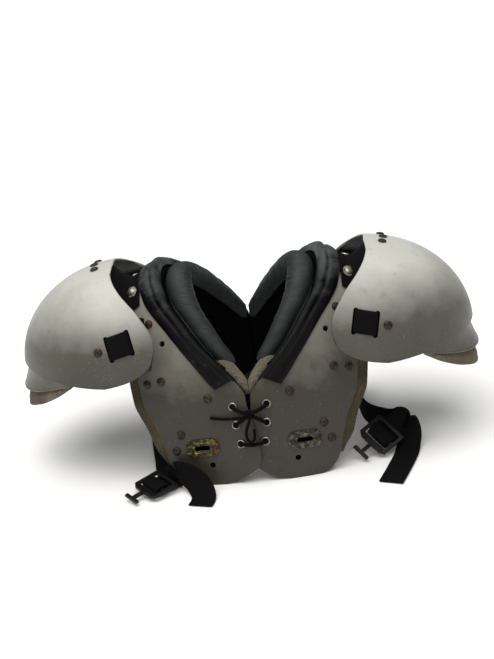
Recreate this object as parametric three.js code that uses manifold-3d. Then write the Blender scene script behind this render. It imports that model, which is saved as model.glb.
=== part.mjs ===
// Football shoulder pad. Two rigid plates arch from the chest over the shoulders to the back and
// are laced together at both ends. A padded roll and a vinyl binding follow the neck edge, a mesh
// pad lines each plate, and a cap over an epaulet hangs on webbing at each shoulder.
// Millimetres, +Z up, +X to the right and -Y to the front. The plates stand on the floor, z = 0.
// Left and right are as seen from the front. u is a distance from the centre line to a side.
import * as THREE from 'three';
import { mergeVertices } from 'three/addons/utils/BufferGeometryUtils.js';
import Module from 'manifold-3d';

// Clearances between pieces
const SEAT = 0.5; // curved piece on a curved piece
const CLEAR = 0.3; // flat or small piece on its seat

// Arch plates: an oval seen from the side, whose axis lies below the floor
const CROWN_HEIGHT = 222;
const OVAL_SINK = 60;
const OVAL_POWER = 1.8;
const HALF_DEPTH = 125;
const SHOULDER_DROP = 22; // fall of the crown from the neck to the plate's arm edge
const CROWN_FLAT = 40; // half width of the level part of the crown
const SIDE_TUCK = 0.19; // share of the depth lost at the plate's arm edge
const PLATE_REACH = 119; // centre line to the plate's arm edge
const PLATE_WALL = 3;
const LACED_LAP = 9; // how far the left chest plate passes the centre line

// Neck binding and roll
const BINDING_WIDTH = 25;
const BINDING_BULGE = 4.6;
const BINDING_EDGE = 2.6; // thickness where it wraps the plate's neck edge
const ROLL_HALF_WIDTH = 16;
const ROLL_HALF_THICKNESS = 13;
const ROLL_SINK = 12; // its middle below the plate's outer face

// Mesh pad under each plate
const PAD_THICKNESS = 15;
const PAD_MARGIN = 9; // beyond the plate's arm edge

// Cap: part of an ellipsoid round a centre over the upper arm
const CAP_CENTRE = 130;
const CAP_REACH = 122;
const CAP_NECK_REACH = 160; // flatter half of the ellipsoid, on the neck side
const CAP_HALF_DEPTH = 104;
const CAP_BASE = CROWN_HEIGHT - 104;
const CAP_RISE = 104;
const CAP_RIM = CAP_BASE - 2; // height of the lobes' lowest edge
const CAP_SIDE_RIM = CAP_BASE + 8;
const CAP_WALL = 3;
const NOTCH_RADIUS = 22; // clear of the shoulder webbing
const LOBE_ANGLE = 111; // degrees from straight out to the lobe's neck edge
const SLOT_LENGTH = 26;
const SLOT_WIDTH = 4.4;
const SLOT_SPACING = 23;
const SLOT_CENTRE = 130; // u of the point between the two slots
const SLOT_HEIGHT = CAP_BASE + 43;

// Epaulet and its pad, under the cap
const EPAULET_WALL = 2.5;
const EPAULET_TOP = CAP_BASE + 4; // where its skirt leaves the ellipsoid
const EPAULET_RIM = CAP_BASE - 24;
const EPAULET_FLARE = 9;
const EPAULET_ANGLE = 62;
const EPAULET_NOTCH = 24; // straight out from the cap's centre
const EPAULET_SIDE_NOTCH = 44; // to the front and back
const DOME_GAP = 1.25; // between two shells of the shoulder, whose facets come closer
const CUSHION_THICKNESS = 12;
const CUSHION_HANG = 17; // below the epaulet's rim

// Webbing, belts and buckles
const WEBBING_THICKNESS = 2;
const SHOULDER_WEBBING_WIDTH = 72;
const SHOULDER_WEBBING_START = 116.3;
const SHOULDER_WEBBING_END = 168;
const LOOP_WIDTH = 20;
const LOOP_THICKNESS = 1.6;
const BELT_WIDTH = 25.4;
const BELT_THICKNESS = 2;
const BUCKLE_WIDTH = 38;
const BUCKLE_LENGTH = 34;
const BUCKLE_THICKNESS = 3.5;
const BUCKLE_BAR = 5;
const BUCKLE_RIM = 4;
const HOOK_STEM = 12;
const HOOK_CROSSBAR = 20;
const HOOK_BAR = 4;

// Hardware
const EYELET_RADIUS = 4.8;
const EYELET_BORE = 3.2;
const EYELET_BARREL = 3.8;
const EYELET_HEIGHT = 1.4;
const RIVET_RADIUS = 4.7;
const RIVET_HEIGHT = 2.2;
const WASHER_RADIUS = 6.6;
const OPEN_HOLE_RADIUS = 2.6;
const HOOK_PLATE_LENGTH = 37;
const HOOK_PLATE_WIDTH = 19;
const HOOK_PLATE_THICKNESS = 1.6;
const HOOK_SLOT_LENGTH = 17;
const HOOK_SLOT_WIDTH = 5;
const LACE_RADIUS = 1;

// Edges of a plate along its arch: turn 0 is the chest edge on the floor, 0.5 the crown and 1 the
// back edge on the floor. neck and arm are shares of PLATE_REACH from the centre line.
const PLATE_EDGES = [
  { turn: 0, neck: 0.29, arm: 0.59 },
  { turn: 0.0045, neck: 0.19, arm: 0.66 },
  { turn: 0.012, neck: 0.1, arm: 0.71 },
  { turn: 0.0275, neck: 0.025, arm: 0.765 },
  { turn: 0.058, neck: 0.013, arm: 0.81 },
  { turn: 0.09, neck: 0.013, arm: 0.865 },
  { turn: 0.118, neck: 0.013, arm: 0.935 },
  { turn: 0.136, neck: 0.017, arm: 0.97 },
  { turn: 0.157, neck: 0.1, arm: 0.985 },
  { turn: 0.191, neck: 0.26, arm: 1 },
  { turn: 0.23, neck: 0.43, arm: 1 },
  { turn: 0.272, neck: 0.555, arm: 1 },
  { turn: 0.312, neck: 0.655, arm: 1.05 },
  { turn: 0.35, neck: 0.715, arm: 1.09 },
  { turn: 0.42, neck: 0.755, arm: 1.11 },
  { turn: 0.5, neck: 0.74, arm: 1.11 },
  { turn: 0.58, neck: 0.68, arm: 1.11 },
  { turn: 0.665, neck: 0.52, arm: 1.08 },
  { turn: 0.72, neck: 0.385, arm: 1.04 },
  { turn: 0.79, neck: 0.18, arm: 1 },
  { turn: 0.82, neck: 0.08, arm: 1 },
  { turn: 0.845, neck: 0.015, arm: 0.985 },
  { turn: 0.882, neck: 0.013, arm: 0.935 },
  { turn: 0.91, neck: 0.013, arm: 0.865 },
  { turn: 0.942, neck: 0.013, arm: 0.81 },
  { turn: 0.9725, neck: 0.025, arm: 0.765 },
  { turn: 0.988, neck: 0.1, arm: 0.71 },
  { turn: 0.9955, neck: 0.19, arm: 0.66 },
  { turn: 1, neck: 0.29, arm: 0.59 },
];
// How far each chest plate passes the centre line, as shares of LACED_LAP
const CHEST_LAP = [
  { turn: 0.012, left: 0, right: 0 },
  { turn: 0.035, left: 1, right: 0.35 },
  { turn: 0.09, left: 0.4, right: 0.3 },
  { turn: 0.13, left: -0.3, right: 0 },
  { turn: 0.157, left: 0, right: 0 },
];
// Neck edge of the mesh pad, as shares of BINDING_WIDTH from the plate's neck edge
const PAD_EDGE = [
  { turn: 0.036, margin: 0.95 },
  { turn: 0.13, margin: 0.95 },
  { turn: 0.155, margin: -0.4 },
  { turn: 0.18, margin: -0.3 },
  { turn: 0.2, margin: -0.115 },
  { turn: 0.8, margin: -0.115 },
  { turn: 0.85, margin: 0.95 },
  { turn: 0.964, margin: 0.95 },
];
// Girth of the roll along the neck edge, as a share of its half width and half thickness
const ROLL_GIRTH = [
  { turn: 0.201, girth: 0.3 },
  { turn: 0.208, girth: 0.55 },
  { turn: 0.225, girth: 0.74 },
  { turn: 0.28, girth: 0.88 },
  { turn: 0.4, girth: 1 },
  { turn: 0.58, girth: 0.95 },
  { turn: 0.7, girth: 0.78 },
  { turn: 0.775, girth: 0.62 },
  { turn: 0.79, girth: 0.45 },
  { turn: 0.797, girth: 0.25 },
];
// Half angle that the cap spans from its rim, climb 0, to its notch, climb 1, as a share of
// LOBE_ANGLE
const CAP_SPAN = [
  { climb: 0, span: 0.74 },
  { climb: 0.05, span: 0.86 },
  { climb: 0.16, span: 0.96 },
  { climb: 0.33, span: 1 },
  { climb: 0.55, span: 0.97 },
  { climb: 0.76, span: 0.9 },
  { climb: 1, span: 0.84 },
];
// Rows of holes and rivets on a chest plate: u and height, the same on both sides
const EYELETS = [{ u: 18, height: 83 }, { u: 16, height: 64 }, { u: 13, height: 44 }];
const PLATE_RIVETS = [{ u: 93, height: CROWN_HEIGHT - 112 }, { u: 77, height: 55 }, { u: 44, height: CROWN_HEIGHT - 129 }];
const OPEN_HOLES = [{ u: 88, height: CROWN_HEIGHT - 74 }, { u: 46, height: 22 }];
const HOOK_PLATE_AT = { u: 55, height: 41 };
const CAP_RIVETS = [{ u: 158, y: 2 }, { u: 160, y: 18 }, { u: 158, y: 34 }];
const WEBBING_RIVETS = [{ u: 121, y: -16 }, { u: 121, y: 16 }];

// Shares of a plate's width at which its grid has a line, closer at the lap
const PLATE_COLUMNS = [0, 0.13, 0.28, 0.52, 0.76, 1];

const SIDES = [{ name: 'left', sign: -1 }, { name: 'right', sign: 1 }];
const wasm = await Module();
wasm.setup();

const MATERIALS = {
  plate: new THREE.MeshStandardMaterial({ color: 0x6f6a60, roughness: 0.42, metalness: 0.1 }),
  cap: new THREE.MeshStandardMaterial({ color: 0xa9a8a2, roughness: 0.36, metalness: 0.15 }),
  epaulet: new THREE.MeshStandardMaterial({ color: 0x6d665b, roughness: 0.45, metalness: 0.1 }),
  vinyl: new THREE.MeshStandardMaterial({ color: 0x1a1b1c, roughness: 0.35, metalness: 0 }),
  roll: new THREE.MeshStandardMaterial({ color: 0x2b2c2e, roughness: 0.7, metalness: 0 }),
  mesh: new THREE.MeshStandardMaterial({ color: 0x8a7a66, roughness: 0.95, metalness: 0 }),
  webbing: new THREE.MeshStandardMaterial({ color: 0x141414, roughness: 0.9, metalness: 0 }),
  plastic: new THREE.MeshStandardMaterial({ color: 0x101113, roughness: 0.4, metalness: 0 }),
  lace: new THREE.MeshStandardMaterial({ color: 0x111212, roughness: 0.85, metalness: 0 }),
  nickel: new THREE.MeshStandardMaterial({ color: 0xb9b7b0, roughness: 0.3, metalness: 0.95 }),
  brass: new THREE.MeshStandardMaterial({ color: 0x8f7d52, roughness: 0.4, metalness: 0.9 }),
  bronze: new THREE.MeshStandardMaterial({ color: 0x4a352b, roughness: 0.5, metalness: 0.7 }),
};
const part = new THREE.Group();

function addPiece(name, geometry, material) {
  const mesh = new THREE.Mesh(geometry, MATERIALS[material]);
  mesh.name = name;
  part.add(mesh);
  return mesh;
}

// Value of a column part way along a table, on a smooth line through its rows
function along(rows, key, column, at) {
  const last = rows.length - 1;
  if (at <= rows[0][key]) return rows[0][column];
  if (at >= rows[last][key]) return rows[last][column];
  const rate = (k) => (rows[k + 1][column] - rows[k][column]) / (rows[k + 1][key] - rows[k][key]);
  const slope = (k) => {
    if (k === 0) return rate(0);
    if (k === last) return rate(last - 1);
    const before = rate(k - 1), after = rate(k);
    return before * after <= 0 ? 0 : (2 * before * after) / (before + after);
  };
  const k = rows.findIndex((row, n) => n < last && at <= rows[n + 1][key]);
  const step = rows[k + 1][key] - rows[k][key];
  const t = (at - rows[k][key]) / step;
  return (1 + 2 * t) * (1 - t) ** 2 * rows[k][column] + t * (1 - t) ** 2 * step * slope(k)
    + t * t * (3 - 2 * t) * rows[k + 1][column] + t * t * (t - 1) * step * slope(k + 1);
}

// Stops along a table between two values, none further apart than the step
function stops(rows, key, from, to, step) {
  const fixed = [from, ...rows.map((row) => row[key]).filter((v) => v > from + step / 8 && v < to - step / 8), to];
  const list = [from];
  for (let k = 1; k < fixed.length; k++) {
    const count = Math.ceil((fixed[k] - fixed[k - 1]) / step);
    for (let n = 1; n <= count; n++) list.push(THREE.MathUtils.lerp(fixed[k - 1], fixed[k], n / count));
  }
  return list;
}

// Closed body from points and faces, turned so that its faces point out
function solid(points, faces) {
  let volume = 0;
  for (const [a, b, c] of faces) volume += points[a].dot(points[b].clone().cross(points[c]));
  const turned = volume < 0 ? faces.map(([a, b, c]) => [a, c, b]) : faces;
  const geometry = new THREE.BufferGeometry();
  geometry.setAttribute('position', new THREE.Float32BufferAttribute(points.flatMap((p) => [p.x, p.y, p.z]), 3));
  geometry.setIndex(turned.flat());
  geometry.computeVertexNormals();
  return geometry;
}

// Closed wall between two grids of points with the same rows and columns
function wall(rows, columns, outer, inner) {
  const points = [], faces = [];
  const at = (side, i, j) => (side * rows + i) * columns + j;
  const quad = (a, b, c, d) => faces.push([a, b, c], [a, c, d]);
  for (const grid of [outer, inner])
    for (let i = 0; i < rows; i++)
      for (let j = 0; j < columns; j++) points.push(grid(i, j));
  for (let i = 0; i < rows - 1; i++)
    for (let j = 0; j < columns - 1; j++) {
      quad(at(0, i, j), at(0, i + 1, j), at(0, i + 1, j + 1), at(0, i, j + 1));
      quad(at(1, i, j), at(1, i, j + 1), at(1, i + 1, j + 1), at(1, i + 1, j));
    }
  for (let i = 0; i < rows - 1; i++) {
    quad(at(0, i, 0), at(1, i, 0), at(1, i + 1, 0), at(0, i + 1, 0));
    quad(at(0, i, columns - 1), at(0, i + 1, columns - 1), at(1, i + 1, columns - 1), at(1, i, columns - 1));
  }
  for (let j = 0; j < columns - 1; j++) {
    quad(at(0, 0, j), at(0, 0, j + 1), at(1, 0, j + 1), at(1, 0, j));
    quad(at(0, rows - 1, j), at(1, rows - 1, j), at(1, rows - 1, j + 1), at(0, rows - 1, j + 1));
  }
  return solid(points, faces);
}

// Closed tube through rings of points, with a fan over each end
function tube(rings) {
  const count = rings[0].length, points = rings.flat(), faces = [];
  for (let i = 0; i < rings.length - 1; i++)
    for (let j = 0; j < count; j++) {
      const a = i * count + j, b = i * count + (j + 1) % count;
      faces.push([a, b, b + count], [a, b + count, a + count]);
    }
  for (const [start, flip] of [[0, 1], [(rings.length - 1) * count, 0]])
    for (let j = 1; j < count - 1; j++)
      faces.push(flip ? [start, start + j + 1, start + j] : [start, start + j, start + j + 1]);
  return solid(points, faces);
}

function toManifold(geometry) {
  const bare = new THREE.BufferGeometry();
  bare.setAttribute('position', geometry.getAttribute('position').clone());
  bare.setIndex(geometry.index ? geometry.index.clone() : null);
  const merged = mergeVertices(bare, 1e-4);
  const index = Array.from(merged.index.array), triangles = [];
  for (let k = 0; k < index.length; k += 3) {
    const [a, b, c] = index.slice(k, k + 3);
    if (a !== b && b !== c && a !== c) triangles.push(a, b, c);
  }
  return new wasm.Manifold(new wasm.Mesh({
    numProp: 3,
    vertProperties: new Float32Array(merged.getAttribute('position').array),
    triVerts: new Uint32Array(triangles),
  }));
}

function fromManifold(body) {
  const mesh = body.getMesh();
  const geometry = new THREE.BufferGeometry();
  geometry.setAttribute('position', new THREE.BufferAttribute(Float32Array.from(mesh.vertProperties), 3));
  geometry.setIndex(new THREE.BufferAttribute(Uint32Array.from(mesh.triVerts), 1));
  geometry.computeVertexNormals();
  return geometry;
}

function cutAway(geometry, tools) {
  return fromManifold(tools.reduce((body, tool) => body.subtract(toManifold(tool)), toManifold(geometry)));
}

function fuse(geometries) {
  return fromManifold(geometries.map(toManifold).reduce((body, other) => body.add(other)));
}

// Matrix of a seat on a surface: its Z axis leaves the surface, its X axis runs sideways
function seatMatrix({ point, normal }, spin = 0) {
  const across = new THREE.Vector3(1, 0, 0).addScaledVector(normal, -normal.x).normalize();
  const matrix = new THREE.Matrix4().makeBasis(across, normal.clone().cross(across), normal);
  return matrix.setPosition(point).multiply(new THREE.Matrix4().makeRotationZ(spin));
}

// Arch surface

function crownHeight(u) {
  const out = Math.max(Math.abs(u) - CROWN_FLAT, 0) / (PLATE_REACH - CROWN_FLAT);
  return CROWN_HEIGHT - SHOULDER_DROP * out ** 2;
}

function archDepth(u) {
  return HALF_DEPTH * (1 - SIDE_TUCK * (Math.abs(u) / PLATE_REACH) ** 2.4);
}

function floorAngle(u) {
  return Math.asin((OVAL_SINK / (crownHeight(u) + OVAL_SINK)) ** (OVAL_POWER / 2));
}

function archBase(sign, u, turn) {
  const start = floorAngle(u), angle = start + turn * (Math.PI - 2 * start);
  const run = Math.abs(Math.cos(angle)) ** (2 / OVAL_POWER), climb = Math.sin(angle) ** (2 / OVAL_POWER);
  return new THREE.Vector3(sign * u, -Math.sign(Math.cos(angle)) * archDepth(u) * run,
    (crownHeight(u) + OVAL_SINK) * climb - OVAL_SINK);
}

// Turn of the arch at a height on the chest, or on the back
function turnAt(u, height, back = false) {
  const start = floorAngle(u);
  const angle = Math.asin(((height + OVAL_SINK) / (crownHeight(u) + OVAL_SINK)) ** (OVAL_POWER / 2));
  const turn = (angle - start) / (Math.PI - 2 * start);
  return back ? 1 - turn : turn;
}

// Rise of the left chest plate where it laps over the right one
function lapRise(sign, u, turn) {
  if (sign > 0 || turn > 0.3) return 0;
  const near = 1 - THREE.MathUtils.smoothstep(u, LACED_LAP / 4, LACED_LAP * 2.8);
  return (PLATE_WALL + SEAT + CLEAR) * near * (1 - THREE.MathUtils.smoothstep(turn, 0.15, 0.25));
}

function archSeat(sign, u, turn, lift = 0, lapped = true) {
  const du = 0.5, dt = 0.002;
  const faceOut = (surface) => {
    const sideways = surface(u + du, turn).sub(surface(u - du, turn));
    const forward = surface(u, turn + dt).sub(surface(u, turn - dt));
    return sideways.cross(forward).multiplyScalar(sign).normalize();
  };
  const bare = (a, b) => archBase(sign, a, b);
  const plain = faceOut(bare);
  const raised = (a, b) => bare(a, b).addScaledVector(plain, lapRise(sign, a, b));
  const normal = lapped && lapRise(sign, u, turn) > 0 ? faceOut(raised) : plain;
  const point = (lapped ? raised(u, turn) : bare(u, turn)).addScaledVector(normal, lift);
  point.z = Math.max(point.z, 0);
  return { point, normal };
}

const archPoint = (sign, u, turn, lift, lapped) => archSeat(sign, u, turn, lift, lapped).point;
const plateTurns = stops(PLATE_EDGES, 'turn', 0, 1, 0.045);
const neckEdge = (turn) => PLATE_REACH * along(PLATE_EDGES, 'turn', 'neck', turn);
const armEdge = (turn) => PLATE_REACH * along(PLATE_EDGES, 'turn', 'arm', turn);

function plateHoles(side) {
  const holes = [];
  const addHole = (u, height, back, radius, shape) => {
    const seat = archSeat(side.sign, u, turnAt(u, height, back));
    const tool = shape ?? new THREE.CylinderGeometry(radius, radius, 6 * PLATE_WALL, 8).rotateX(Math.PI / 2);
    holes.push(tool.applyMatrix4(seatMatrix(seat, shape ? hookPlateSpin(side) : 0)));
  };
  for (const back of [false, true])
    for (const { u, height } of EYELETS) addHole(u, height, back, EYELET_BARREL + CLEAR);
  for (const { u, height } of OPEN_HOLES) addHole(u, height, false, OPEN_HOLE_RADIUS);
  const slot = stadium(HOOK_SLOT_LENGTH + 2, HOOK_SLOT_WIDTH + 2, 6 * PLATE_WALL);
  addHole(HOOK_PLATE_AT.u, HOOK_PLATE_AT.height, false, 0, slot);
  return holes;
}

function plate(side) {
  const turns = plateTurns, columns = PLATE_COLUMNS.length;
  const grid = (lift) => (i, j) => {
    const lap = LACED_LAP * along(CHEST_LAP, 'turn', side.name, turns[i]);
    const u = THREE.MathUtils.lerp(neckEdge(turns[i]) - lap, armEdge(turns[i]), PLATE_COLUMNS[j]);
    return archPoint(side.sign, u, turns[i], lift);
  };
  return cutAway(wall(turns.length, columns, grid(0), grid(-PLATE_WALL)), plateHoles(side));
}

// Section of the binding: out is a share of BINDING_WIDTH from the plate's neck edge towards the
// arm, top and under are its two faces above the plate as shares of BINDING_BULGE
const BINDING_SECTION = [
  { out: 1, top: 0.3, under: 0 },
  { out: 0.8, top: 0.85, under: 0 },
  { out: 0.45, top: 1, under: 0 },
  { out: 0.1, top: 0.75, under: 0 },
];

function binding(side) {
  const from = 0.165, to = 0.812;
  const turns = [from, ...plateTurns.filter((turn) => turn > from + 0.004 && turn < to - 0.004), to];
  const edge = CLEAR + SEAT;
  const outer = (i, j) => place(turns[i], [
    ...BINDING_SECTION.map((row) => [row.out * BINDING_WIDTH, SEAT + row.top * BINDING_BULGE]),
    [-edge - BINDING_EDGE * 0.85, BINDING_BULGE * 0.35], [-edge - BINDING_EDGE, -PLATE_WALL - CLEAR]][j]);
  const inner = (i, j) => place(turns[i], [
    ...BINDING_SECTION.map((row) => [row.out * BINDING_WIDTH, SEAT + row.under]),
    [-edge, SEAT], [-edge, -PLATE_WALL - CLEAR]][j]);
  const place = (turn, [out, lift]) => {
    const end = 1 - THREE.MathUtils.smoothstep(turn, from, from + 0.08);
    return archPoint(side.sign, neckEdge(turn) + out, turn - 0.014 * end * Math.max(out, 0) / BINDING_WIDTH,
      lift + (lift > 0 ? SEAT * end : 0));
  };
  return wall(turns.length, BINDING_SECTION.length + 2, outer, inner);
}

function neckRoll(side) {
  const turns = stops(ROLL_GIRTH, 'turn', ROLL_GIRTH[0].turn, ROLL_GIRTH.at(-1).turn, 0.045), around = 9;
  const rings = turns.map((turn) => {
    const girth = along(ROLL_GIRTH, 'turn', 'girth', turn);
    const middle = neckEdge(turn) - BINDING_EDGE - CLEAR - SEAT - ROLL_HALF_WIDTH * girth;
    return Array.from({ length: around }, (_, k) => {
      const angle = (2 * Math.PI * k) / around;
      const u = middle + ROLL_HALF_WIDTH * girth * Math.cos(angle);
      const lift = -ROLL_SINK + ROLL_HALF_THICKNESS * girth * Math.sin(angle);
      return archPoint(side.sign, Math.max(u, 1.5), turn, lift, false);
    });
  });
  return tube(rings);
}

function liningPad(side) {
  const from = PAD_EDGE[0].turn, to = PAD_EDGE.at(-1).turn;
  const turns = stops(PAD_EDGE, 'turn', from, to, 0.045), columns = 4;
  const top = -PLATE_WALL - SEAT - CLEAR;
  const grid = (lift, inset) => (i, j) => {
    const turn = turns[i];
    const neck = Math.max(neckEdge(turn) + BINDING_WIDTH * along(PAD_EDGE, 'turn', 'margin', turn), 2);
    const corner = i === 0 || i === turns.length - 1 ? 8 : 0;
    const u = THREE.MathUtils.lerp(neck + inset, armEdge(turn) + PAD_MARGIN - inset - corner, j / (columns - 1));
    return archPoint(side.sign, u, turn, lift, false);
  };
  return wall(turns.length, columns, grid(top, 0), grid(top - PAD_THICKNESS, 3));
}

// Cap ellipsoid

function domeSeat(sign, angle, pitch, lift = 0) {
  const reach = Math.cos(angle) > 0 ? CAP_REACH : CAP_NECK_REACH;
  const radius = 1 / Math.hypot(Math.cos(angle) / reach, Math.sin(angle) / CAP_HALF_DEPTH);
  const out = radius * Math.cos(pitch) * Math.cos(angle), y = radius * Math.cos(pitch) * Math.sin(angle);
  const up = CAP_RISE * Math.sin(pitch);
  const normal = new THREE.Vector3(sign * out / reach ** 2, y / CAP_HALF_DEPTH ** 2, up / CAP_RISE ** 2).normalize();
  const point = new THREE.Vector3(sign * (CAP_CENTRE + out), y, CAP_BASE + up).addScaledVector(normal, lift);
  return { point, normal };
}

const domePoint = (sign, angle, pitch, lift) => domeSeat(sign, angle, pitch, lift).point;

function domeRadius(angle) {
  const reach = Math.cos(angle) > 0 ? CAP_REACH : CAP_NECK_REACH;
  return 1 / Math.hypot(Math.cos(angle) / reach, Math.sin(angle) / CAP_HALF_DEPTH);
}

// Seat on the dome above a point of the floor plan, or at a height on its front or back
function domeSeatOver(sign, u, y, lift = 0) {
  const angle = Math.atan2(y, u - CAP_CENTRE);
  return domeSeat(sign, angle, Math.acos(Math.min(Math.hypot(u - CAP_CENTRE, y) / domeRadius(angle), 1)), lift);
}

function domeSeatFacing(sign, u, height, face, lift = 0) {
  const pitch = Math.asin((height - CAP_BASE) / CAP_RISE);
  const reach = u > CAP_CENTRE ? CAP_REACH : CAP_NECK_REACH;
  const share = Math.cos(pitch) ** 2 - ((u - CAP_CENTRE) / reach) ** 2;
  const y = face * CAP_HALF_DEPTH * Math.sqrt(Math.max(share, 0));
  return domeSeat(sign, Math.atan2(y, u - CAP_CENTRE), pitch, lift);
}

const pitchAtHeight = (height) => Math.asin((height - CAP_BASE) / CAP_RISE);
const notchPitch = (angle, notch) => Math.acos(notch / domeRadius(angle));

function capShell(side) {
  const climbs = stops(CAP_SPAN, 'climb', 0, 1, 0.15), across = 17;
  const grid = (lift) => (i, j) => {
    const span = THREE.MathUtils.degToRad(LOBE_ANGLE * along(CAP_SPAN, 'climb', 'span', climbs[i]));
    const angle = span * ((2 * j) / (across - 1) - 1);
    const rim = pitchAtHeight(THREE.MathUtils.lerp(CAP_RIM, CAP_SIDE_RIM, Math.max(Math.cos(angle), 0) ** 2));
    const pitch = THREE.MathUtils.lerp(rim, notchPitch(angle, NOTCH_RADIUS), climbs[i]);
    return domePoint(side.sign, angle, pitch, lift);
  };
  return cutAway(wall(climbs.length, across, grid(0), grid(-CAP_WALL)), capSlots(side));
}

function capSlots(side) {
  const slots = [];
  for (const face of [-1, 1])
    for (const offset of [-0.5, 0.5]) {
      const seat = domeSeatFacing(side.sign, SLOT_CENTRE + offset * SLOT_SPACING, SLOT_HEIGHT, face);
      slots.push(stadium(SLOT_WIDTH, SLOT_LENGTH, 6 * CAP_WALL).applyMatrix4(seatMatrix(seat)));
    }
  return slots;
}

// Prism with round ends, centred, its length along the longer of the two sizes
function stadium(width, height, depth, hole) {
  const outline = (w, h, path) => {
    const radius = Math.min(w, h) / 2, dx = w / 2 - radius, dy = h / 2 - radius;
    path.absarc(dx, dy, radius, w > h ? -Math.PI / 2 : 0, w > h ? Math.PI / 2 : Math.PI, false);
    path.absarc(-dx, -dy, radius, w > h ? Math.PI / 2 : Math.PI, w > h ? 1.5 * Math.PI : 2 * Math.PI, false);
    path.closePath();
    return path;
  };
  const shape = outline(width, height, new THREE.Shape());
  if (hole) shape.holes.push(outline(hole.width, hole.height, new THREE.Path()));
  const geometry = new THREE.ExtrudeGeometry(shape, { depth, bevelEnabled: false, curveSegments: 4 });
  return geometry.translate(0, 0, -depth / 2);
}

// Turn of the arch at a distance behind the crown, or before it
function turnOver(u, y) {
  const climb = (1 - (Math.abs(y) / archDepth(u)) ** OVAL_POWER) ** (1 / OVAL_POWER);
  return turnAt(u, (crownHeight(u) + OVAL_SINK) * climb - OVAL_SINK, y > 0);
}

// Webbing over the shoulder: flat on the plate near the neck, under the cap further out
function shoulderWebbing(side) {
  const rows = 8, columns = 7, edge = 128;
  const onCap = -CAP_WALL - DOME_GAP - WEBBING_THICKNESS;
  const grid = (lift) => (i, j) => {
    const u = i === 0 ? SHOULDER_WEBBING_START : THREE.MathUtils.lerp(edge, SHOULDER_WEBBING_END, (i - 1) / (rows - 2));
    const y = SHOULDER_WEBBING_WIDTH * (j / (columns - 1) - 0.5);
    const low = archPoint(side.sign, Math.min(u, edge), turnOver(Math.min(u, edge), y), 2 * SEAT + lift);
    const high = domeSeatOver(side.sign, Math.max(u, CAP_CENTRE), y, onCap + lift).point;
    const blend = THREE.MathUtils.smoothstep(u, edge, edge + 22);
    return new THREE.Vector3(side.sign * u, THREE.MathUtils.lerp(low.y, high.y, blend),
      THREE.MathUtils.lerp(low.z, high.z, blend));
  };
  return wall(rows, columns, grid(WEBBING_THICKNESS), grid(0));
}

// Epaulet: under the cap and the webbing, with a skirt that flares out below the cap's side rim
function epauletPoint(sign, angle, climb, inset, rim, flare, notch) {
  const window = Math.max(Math.cos(angle * 1.3), 0) ** 1.5;
  const knee = 0.34, top = pitchAtHeight(EPAULET_TOP);
  const depth = CAP_WALL + DOME_GAP + inset;
  if (climb >= knee) {
    const pitch = THREE.MathUtils.lerp(top, notchPitch(angle, notch), (climb - knee) / (1 - knee));
    const extra = (WEBBING_THICKNESS + DOME_GAP * 1.2) * THREE.MathUtils.smoothstep(pitch, top, top + 0.7);
    return domePoint(sign, angle, pitch, -depth - extra);
  }
  const down = 1 - climb / knee;
  const start = domePoint(sign, angle, top, -depth);
  const out = new THREE.Vector3(sign * Math.cos(angle), Math.sin(angle), 0);
  const point = start.addScaledVector(out, flare * down ** 1.3 * window - 4 * down * (1 - window));
  point.z -= (EPAULET_TOP - rim) * down * window;
  return point;
}

const epauletNotch = (angle) => THREE.MathUtils.lerp(EPAULET_NOTCH, EPAULET_SIDE_NOTCH, Math.sin(angle) ** 2);

const EPAULET_ROWS = 7, EPAULET_COLUMNS = 13;

function epauletGrid(side, i, j, inset, rim, flare) {
  const angle = THREE.MathUtils.degToRad(EPAULET_ANGLE) * ((2 * j) / (EPAULET_COLUMNS - 1) - 1);
  return epauletPoint(side.sign, angle, i / (EPAULET_ROWS - 1), inset, rim, flare, epauletNotch(angle));
}

function epaulet(side) {
  const grid = (inset) => (i, j) => epauletGrid(side, i, j, inset, EPAULET_RIM, EPAULET_FLARE);
  return wall(EPAULET_ROWS, EPAULET_COLUMNS, grid(0), grid(EPAULET_WALL));
}

function epauletCushion(side) {
  const grid = (inset, hang) => (i, j) => epauletGrid(side, i, j + 1, EPAULET_WALL + SEAT + inset,
    EPAULET_RIM - hang, EPAULET_FLARE * 0.8);
  return wall(EPAULET_ROWS - 1, EPAULET_COLUMNS - 2, grid(0, CUSHION_HANG), grid(CUSHION_THICKNESS, CUSHION_HANG - 4));
}

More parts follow.
